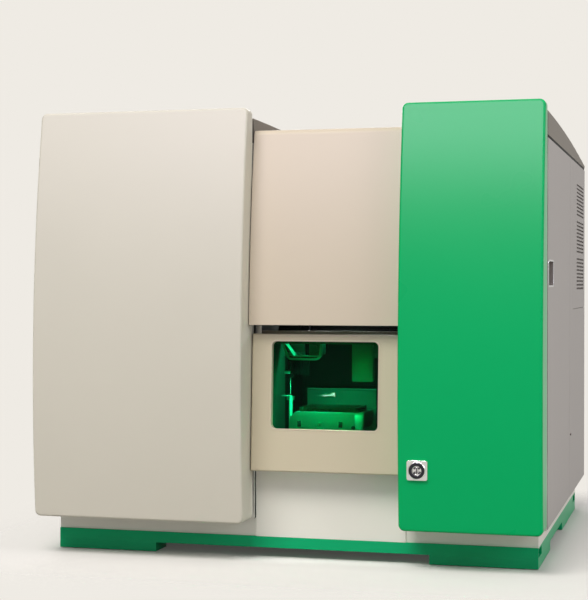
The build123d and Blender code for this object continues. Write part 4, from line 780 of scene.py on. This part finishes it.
# %% [markdown]
# ## Edges of the bulkheads
# The two bulkheads that frame the middle of the cabinet are coated dark inside, where stray light
# must die; the dark coat is also painted shade for the inside of the chamber. Their front edges carry
# a folded strip in the cabinet's cream, so no dark line shows beside the fascia. The strips end at
# the gap above the sliding door.

# %% Edge strips
shape = bmesh.new()
bulk_low, bulk_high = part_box("bulkheads")
for x in (bulk_low.x, bulk_high.x - 0.002):
    block(shape, (x - 0.0003, bulk_low.y - 0.0008, bulk_low.z + 0.001),
          (x + 0.0025, bulk_low.y + 0.0010, 0.452), 0.0003)
made("bulkhead_edges", shape, "cream_paint")
print("edge strips on both bulkheads")

# %% [markdown]
# ## A strip of painted shade above the sliding door
# Above the sliding door a gap stays open for its travel. A strip in the dark grey-brown roof paint
# runs across the chamber, 1 cm behind the door. It is painted shade: it makes the gap read as a shadow.

# %% Baffle
# A dark strip behind the gap: painted shade.
shape = bmesh.new()
block(shape, (-0.0715, -0.3845, 0.4335), (0.2405, -0.3832, 0.4600), 0.0005)
block(shape, (-0.0715, -0.3845, 0.4587), (0.2405, -0.3765, 0.4600), 0.0005)
made("painted_shade_strip", shape, "roof_paint")
print("light baffle above the door")

# %% [markdown]
# ## The optical bench
# Behind the left door lies the optical bench: a black plate with a grid of tapped holes, 25 mm apart,
# with three lasers, their mirrors, the flow cell and four detectors bolted to it. A tapped hole shows
# as a bright chamfer round its dark inside. That inside is painted shade, a black disc, so it can be
# drawn flat, a tenth of a millimetre above the plate. Holes under a laser, the cell or a detector are
# left out.

# %% Holes in the bench
bench_low, bench_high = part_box("optical_plate")
covered = [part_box(name) for name in ("laser_modules", "detector_modules", "flow_cell")]
HOLE_PITCH = 0.025


def free_of_modules(x, y):
    """True where no module stands on the bench within 5 mm of a hole."""
    for low, high in covered:
        if low.x - 0.005 < x < high.x + 0.005 and low.y - 0.005 < y < high.y + 0.005:
            return False
    return True


rims, holes = shapes(2)
count = 0
for column in range(16):
    for row in range(21):
        x = bench_low.x + 0.0215 + HOLE_PITCH * column
        y = bench_low.y + 0.017 + HOLE_PITCH * row
        if free_of_modules(x, y):
            lathe(rims, (x, y, bench_high.z), (0, 0, 1), [(0.0, 0.0040), (0.00025, 0.0036), (0.0001, 0.0031)], 10)
            # The black disc in each rim is painted shade for the inside of the hole.
            lathe(holes, (x, y, bench_high.z), (0, 0, 1), [(0.0001, 0.0031), (0.0001, 0.0)], 10)
            count += 1
made("bench_hole_rims", rims, "anodised")
made("bench_hole_painted_shade", holes, "black_plastic")
print(count, "tapped holes on the bench")

# %% [markdown]
# ## Lasers, mirrors and detectors
# Each laser is an aluminium block with fins. Its front plate and its rear connector are separate
# parts, screwed on, and a small lamp on top shows that it is running. The mirrors are tilted by
# knurled thumb screws at their backs. A knurl is a fine cross grain, and at this size its ridges
# read best as a ring of flats, so the knob is turned with few sides and sharp edges. A detector
# carries a lens barrel towards the cell and a round connector on top.

# %% Laser hardware
BEAM_HEIGHT = 0.522
LASER_WIDTH = 0.062
LASER_FRONTS = (-0.3318, -0.2458, -0.1598)
left, right = -0.494, -0.304
plates, barrels, connectors, jacks, lamps = shapes(5)
screws = []
for front in LASER_FRONTS:
    back = front + LASER_WIDTH
    middle = (front + back) / 2
    block(plates, (right - 0.0005, front + 0.001, 0.4915), (right + 0.0035, back - 0.001, 0.5425), 0.0012)
    lathe(barrels, (right + 0.0035, middle, BEAM_HEIGHT), (1, 0, 0),
          [(0, 0.0115), (0.002, 0.0115), (0.003, 0.0100), (0.003, 0.0074)], 28)
    block(connectors, (left - 0.005, middle - 0.015, 0.506), (left + 0.001, middle + 0.015, 0.517), 0.0015)
    for side in (-0.0195, 0.0195):
        lathe(jacks, (left, middle + side, 0.5115), (-1, 0, 0), [(0, 0.0028), (0.005, 0.0028), (0.005, 0)], 6)
    lathe(lamps, (right - 0.010, front + 0.008, 0.5438), (0, 0, 1),
          [(0, 0.0024), (0.0012, 0.0022), (0.0020, 0.0012), (0.0022, 0)], 14)
    screws += [(right + 0.0035, front + y, z) for y in (0.006, 0.056) for z in (0.497, 0.537)]
made("laser_front_plates", plates, "black_anodised")
made("laser_barrels", barrels, "anodised")
made("laser_connectors", connectors, "zinc_steel")
made("laser_jack_screws", jacks, "stainless")
made("laser_lamps", lamps, "lamp_green")
socket_screws("laser_screws", screws, (1, 0, 0), 0.0026)
print(len(LASER_FRONTS), "lasers dressed")

# %% Mirror and detector hardware
MIRROR_X = -0.254
DETECTOR_FRONTS = (-0.1298, -0.0678, -0.0058, 0.0562)
DETECTOR_TOP = 0.560
knobs, glasses, lens_barrels, plugs = shapes(4)
tilt = Vector((math.cos(math.radians(45)), math.sin(math.radians(45)), 0.0))
for y in (-0.3008, -0.2148, -0.1288):
    back_face = Vector((MIRROR_X, y, BEAM_HEIGHT)) + tilt * 0.003
    sideways = Vector((-tilt.y, tilt.x, 0.0))
    for across, up in ((-0.008, 0.013), (0.008, 0.013), (0.0, -0.010)):
        lathe(knobs, back_face + sideways * across + Vector((0, 0, up)), tilt,
              [(0, 0.0018), (0.004, 0.0018), (0.004, 0.0034), (0.009, 0.0034), (0.0095, 0.0028), (0.0095, 0)], 12)
    lathe(glasses, Vector((MIRROR_X, y, BEAM_HEIGHT)) - tilt * 0.003, -tilt,
          [(0, 0.0105), (0.0006, 0.0105), (0.0008, 0.0100), (0.0008, 0)], 32)
for front in DETECTOR_FRONTS:
    middle = front + 0.027
    lathe(lens_barrels, (-0.180, middle, BEAM_HEIGHT), (-1, 0, 0),
          [(0, 0.013), (0.007, 0.013), (0.008, 0.012), (0.008, 0.0098), (0.004, 0.009), (0.004, 0)], 28)
    lathe(plugs, (-0.128, middle, DETECTOR_TOP), (0, 0, 1),
          [(0, 0.0065), (0.003, 0.0065), (0.003, 0.0048), (0.010, 0.0048), (0.0105, 0.0042), (0.0105, 0.0030),
           (0.004, 0.0028), (0.004, 0)], 24)
made("mirror_knobs", knobs, "stainless", corner=20.0)
made("mirror_glasses", glasses, "bright_chrome")
made("detector_barrels", lens_barrels, "black_anodised")
made("detector_connectors", plugs, "bright_chrome")
places = [(x, front + y, DETECTOR_TOP) for front in DETECTOR_FRONTS for x in (-0.174, -0.121) for y in (0.006, 0.048)]
socket_screws("detector_screws", places, (0, 0, 1), 0.0024)
places = [(x, y, 0.504) for x in (-0.160, -0.132) for y in (-0.2358, -0.2078)]
socket_screws("cell_screws", places, (0, 0, 1), 0.0022)
print("mirrors and detectors dressed")

# %% [markdown]
# ## The card cage
# Below the bench stands the card cage. From the front each circuit card shows as a narrow aluminium
# face plate with an ejector lever and a screw at each end, a connector and three small lamps. The
# levers are what a hand looks for first, so each has a raised lip to pull on.

# %% Card fronts
card_places = [-0.4271, -0.3783, -0.3294, -0.2806, -0.2317, -0.1829]
plates, levers, ports, green_lamps, amber_lamps = shapes(5)
screws = []
for index, x in enumerate(card_places):
    block(plates, (x - 0.0228, -0.2712, 0.0875), (x + 0.0228, -0.2694, 0.3005), 0.0006)
    for z, up in ((0.0935, 1), (0.2945, -1)):
        lip, tip = z + up * 0.017, z + up * 0.024
        block(levers, (x - 0.004, -0.2762, min(z, tip)), (x + 0.004, -0.2710, max(z, tip)), 0.0012)
        block(levers, (x - 0.004, -0.2772, min(lip, tip)), (x + 0.004, -0.2735, max(lip, tip)), 0.0010)
        screws.append((x + 0.015, -0.2712, z + up * 0.004))
    low = 0.150 + 0.018 * (index % 3)
    block(ports, (x - 0.007, -0.2745, low), (x + 0.007, -0.2705, low + 0.052), 0.0015)
    for step in range(3):
        colour = green_lamps if (index + step) % 3 else amber_lamps
        lathe(colour, (x - 0.014, -0.2711, 0.240 + 0.009 * step), (0, -1, 0),
              [(0, 0.0017), (0.0010, 0.0016), (0.0016, 0.0009), (0.0017, 0)], 12)
made("card_fronts", plates, "anodised")
made("card_levers", levers, "black_plastic")
made("card_ports", ports, "black_plastic")
made("card_lamps_green", green_lamps, "lamp_green")
made("card_lamps_amber", amber_lamps, "lamp_amber")
socket_screws("card_screws", screws, (0, -1, 0), 0.0022)
print(len(card_places), "card fronts")

# %% [markdown]
# ## Fluidics hardware
# The caps of the fluid tanks are ribbed for a wet hand. Each valve on the manifold ends in a nut, and
# the manifold has a brass port for every channel. The pump head is held by four screws.

# %% Cap ribs, ports and pump screws
CAP_X, CAP_RADIUS, CAP_RIBS = 0.3795, 0.0239, 28
ribs = bmesh.new()
for middle in (-0.2688, -0.0368):
    for step in range(CAP_RIBS):
        angle = math.radians(360 / CAP_RIBS * step)
        at = (CAP_X + CAP_RADIUS * math.cos(angle), middle + CAP_RADIUS * math.sin(angle), 0.3842)
        lathe(ribs, at, (0, 0, 1), [(0, 0.0009), (0.0002, 0.0012), (0.0170, 0.0012), (0.0185, 0.0006), (0.0185, 0)], 6)
made("cap_ribs", ribs, "black_plastic", corner=50.0)
nuts, ports = shapes(2)
for x in (0.4065, 0.4245, 0.4425, 0.4605):
    lathe(nuts, (x, -0.2263, 0.628), (0, 0, 1),
          [(0, 0.0048), (0.003, 0.0048), (0.003, 0.002), (0.0055, 0.002), (0.0055, 0)], 6)
    lathe(ports, (x, -0.2463, 0.581), (0, -1, 0),
          [(0, 0.0050), (0.004, 0.0050), (0.004, 0.0030), (0.0105, 0.0026), (0.0105, 0.0014), (0.006, 0.0014)], 6)
made("valve_nuts", nuts, "stainless")
made("manifold_ports", ports, "brass")
places = [(x, -0.2323, z) for x in (0.306, 0.353) for z in (0.575, 0.627)]
socket_screws("pump_screws", places, (0, -1, 0), 0.0034)
shape = bmesh.new()
lathe(shape, (0.4335, -0.1363, 0.662), (0, 0, 1),
      [(0, 0.0150), (0.003, 0.0150), (0.004, 0.0135), (0.004, 0.0045), (0.010, 0.0040), (0.010, 0)], 24)
made("filter_cap", shape, "black_plastic")
print("fluidics dressed")

# %% [markdown]
# ## Inside of the doors
# A door's inner sheet is held by small screws. They stand in two rows inside the line where the seal
# presses, so that neither the seal nor a hinge leaf ever meets a screw head.

# %% Door insides
LINER_FACE = -0.417767
LINER_LOW, LINER_HIGH = 0.106, 0.806


def door_inside(name, left, right, body):
    """Screws on the inner sheet of one door, in a row at each x value and two more between them."""
    rows = [LINER_LOW + (LINER_HIGH - LINER_LOW) * i / 6 for i in range(7)]
    places = [(x, LINER_FACE, z) for x in (left, right) for z in rows]
    places += [(left + (right - left) * share, LINER_FACE, z) for share in (0.35, 0.65)
               for z in (LINER_LOW, LINER_HIGH)]
    socket_screws(name + "_screws", places, (0, 1, 0), 0.0024, body)


door_inside("left_liner", -0.463, -0.097, "left_door")
door_inside("right_liner", 0.266, 0.463, "right_door")
print("insides of both doors dressed")

# %% [markdown]
# ## The back and the sides
# Cap screws hold the rear panel to its frame every 15 cm or so, and four more carry each fan.
# The hub of each fan guard is a pressed cap. The side panels hang on hooks, so they need few screws:
# one by the seam of the right side, and three along the rear edge of the left side.

# %% Rear and side hardware
FAN_HEIGHT = 0.640
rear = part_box("rear_panel")[1].y
places = [(x, rear, z) for x in (-0.506, 0.506) for z in (0.095, 0.24, 0.385, 0.53, 0.675, 0.825)]
places += [(x, rear, z) for x in (-0.34, -0.17, 0.0, 0.17, 0.34) for z in (0.089, 0.831)]
socket_screws("rear_screws", places, (0, 1, 0), 0.0034, finish="zinc_steel")
hubs = bmesh.new()
places = []
for low_x, high_x in ((-0.0283, 0.0637), (0.1053, 0.1973)):
    middle = (low_x + high_x) / 2
    lathe(hubs, (middle, rear - 0.0004, FAN_HEIGHT), (0, 1, 0),
          [(0, 0.0105), (0.0010, 0.0103), (0.0022, 0.0080), (0.0028, 0.0040), (0.0029, 0)], 30)
    places += [(middle + dx, rear, FAN_HEIGHT + dz) for dx in (-0.041, 0.041) for dz in (-0.041, 0.041)]
made("fan_hub_caps", hubs, "black_plastic")
socket_screws("fan_screws", places, (0, 1, 0), 0.0034, finish="black_anodised")
places = [(x, rear, 0.140) for x in (0.112, 0.148)]
socket_screws("inlet_screws", places, (0, 1, 0), 0.0022, finish="zinc_steel")
places = [(side_high.x, 0.096, 0.218)]
socket_screws("seam_screw_right", places, (1, 0, 0), 0.0028, finish="grey_plastic")
places = [(-side_high.x, 0.485, z) for z in (0.12, 0.46, 0.80)]
socket_screws("side_screws_left", places, (-1, 0, 0), 0.0030, finish="zinc_steel")
print("back and sides dressed")
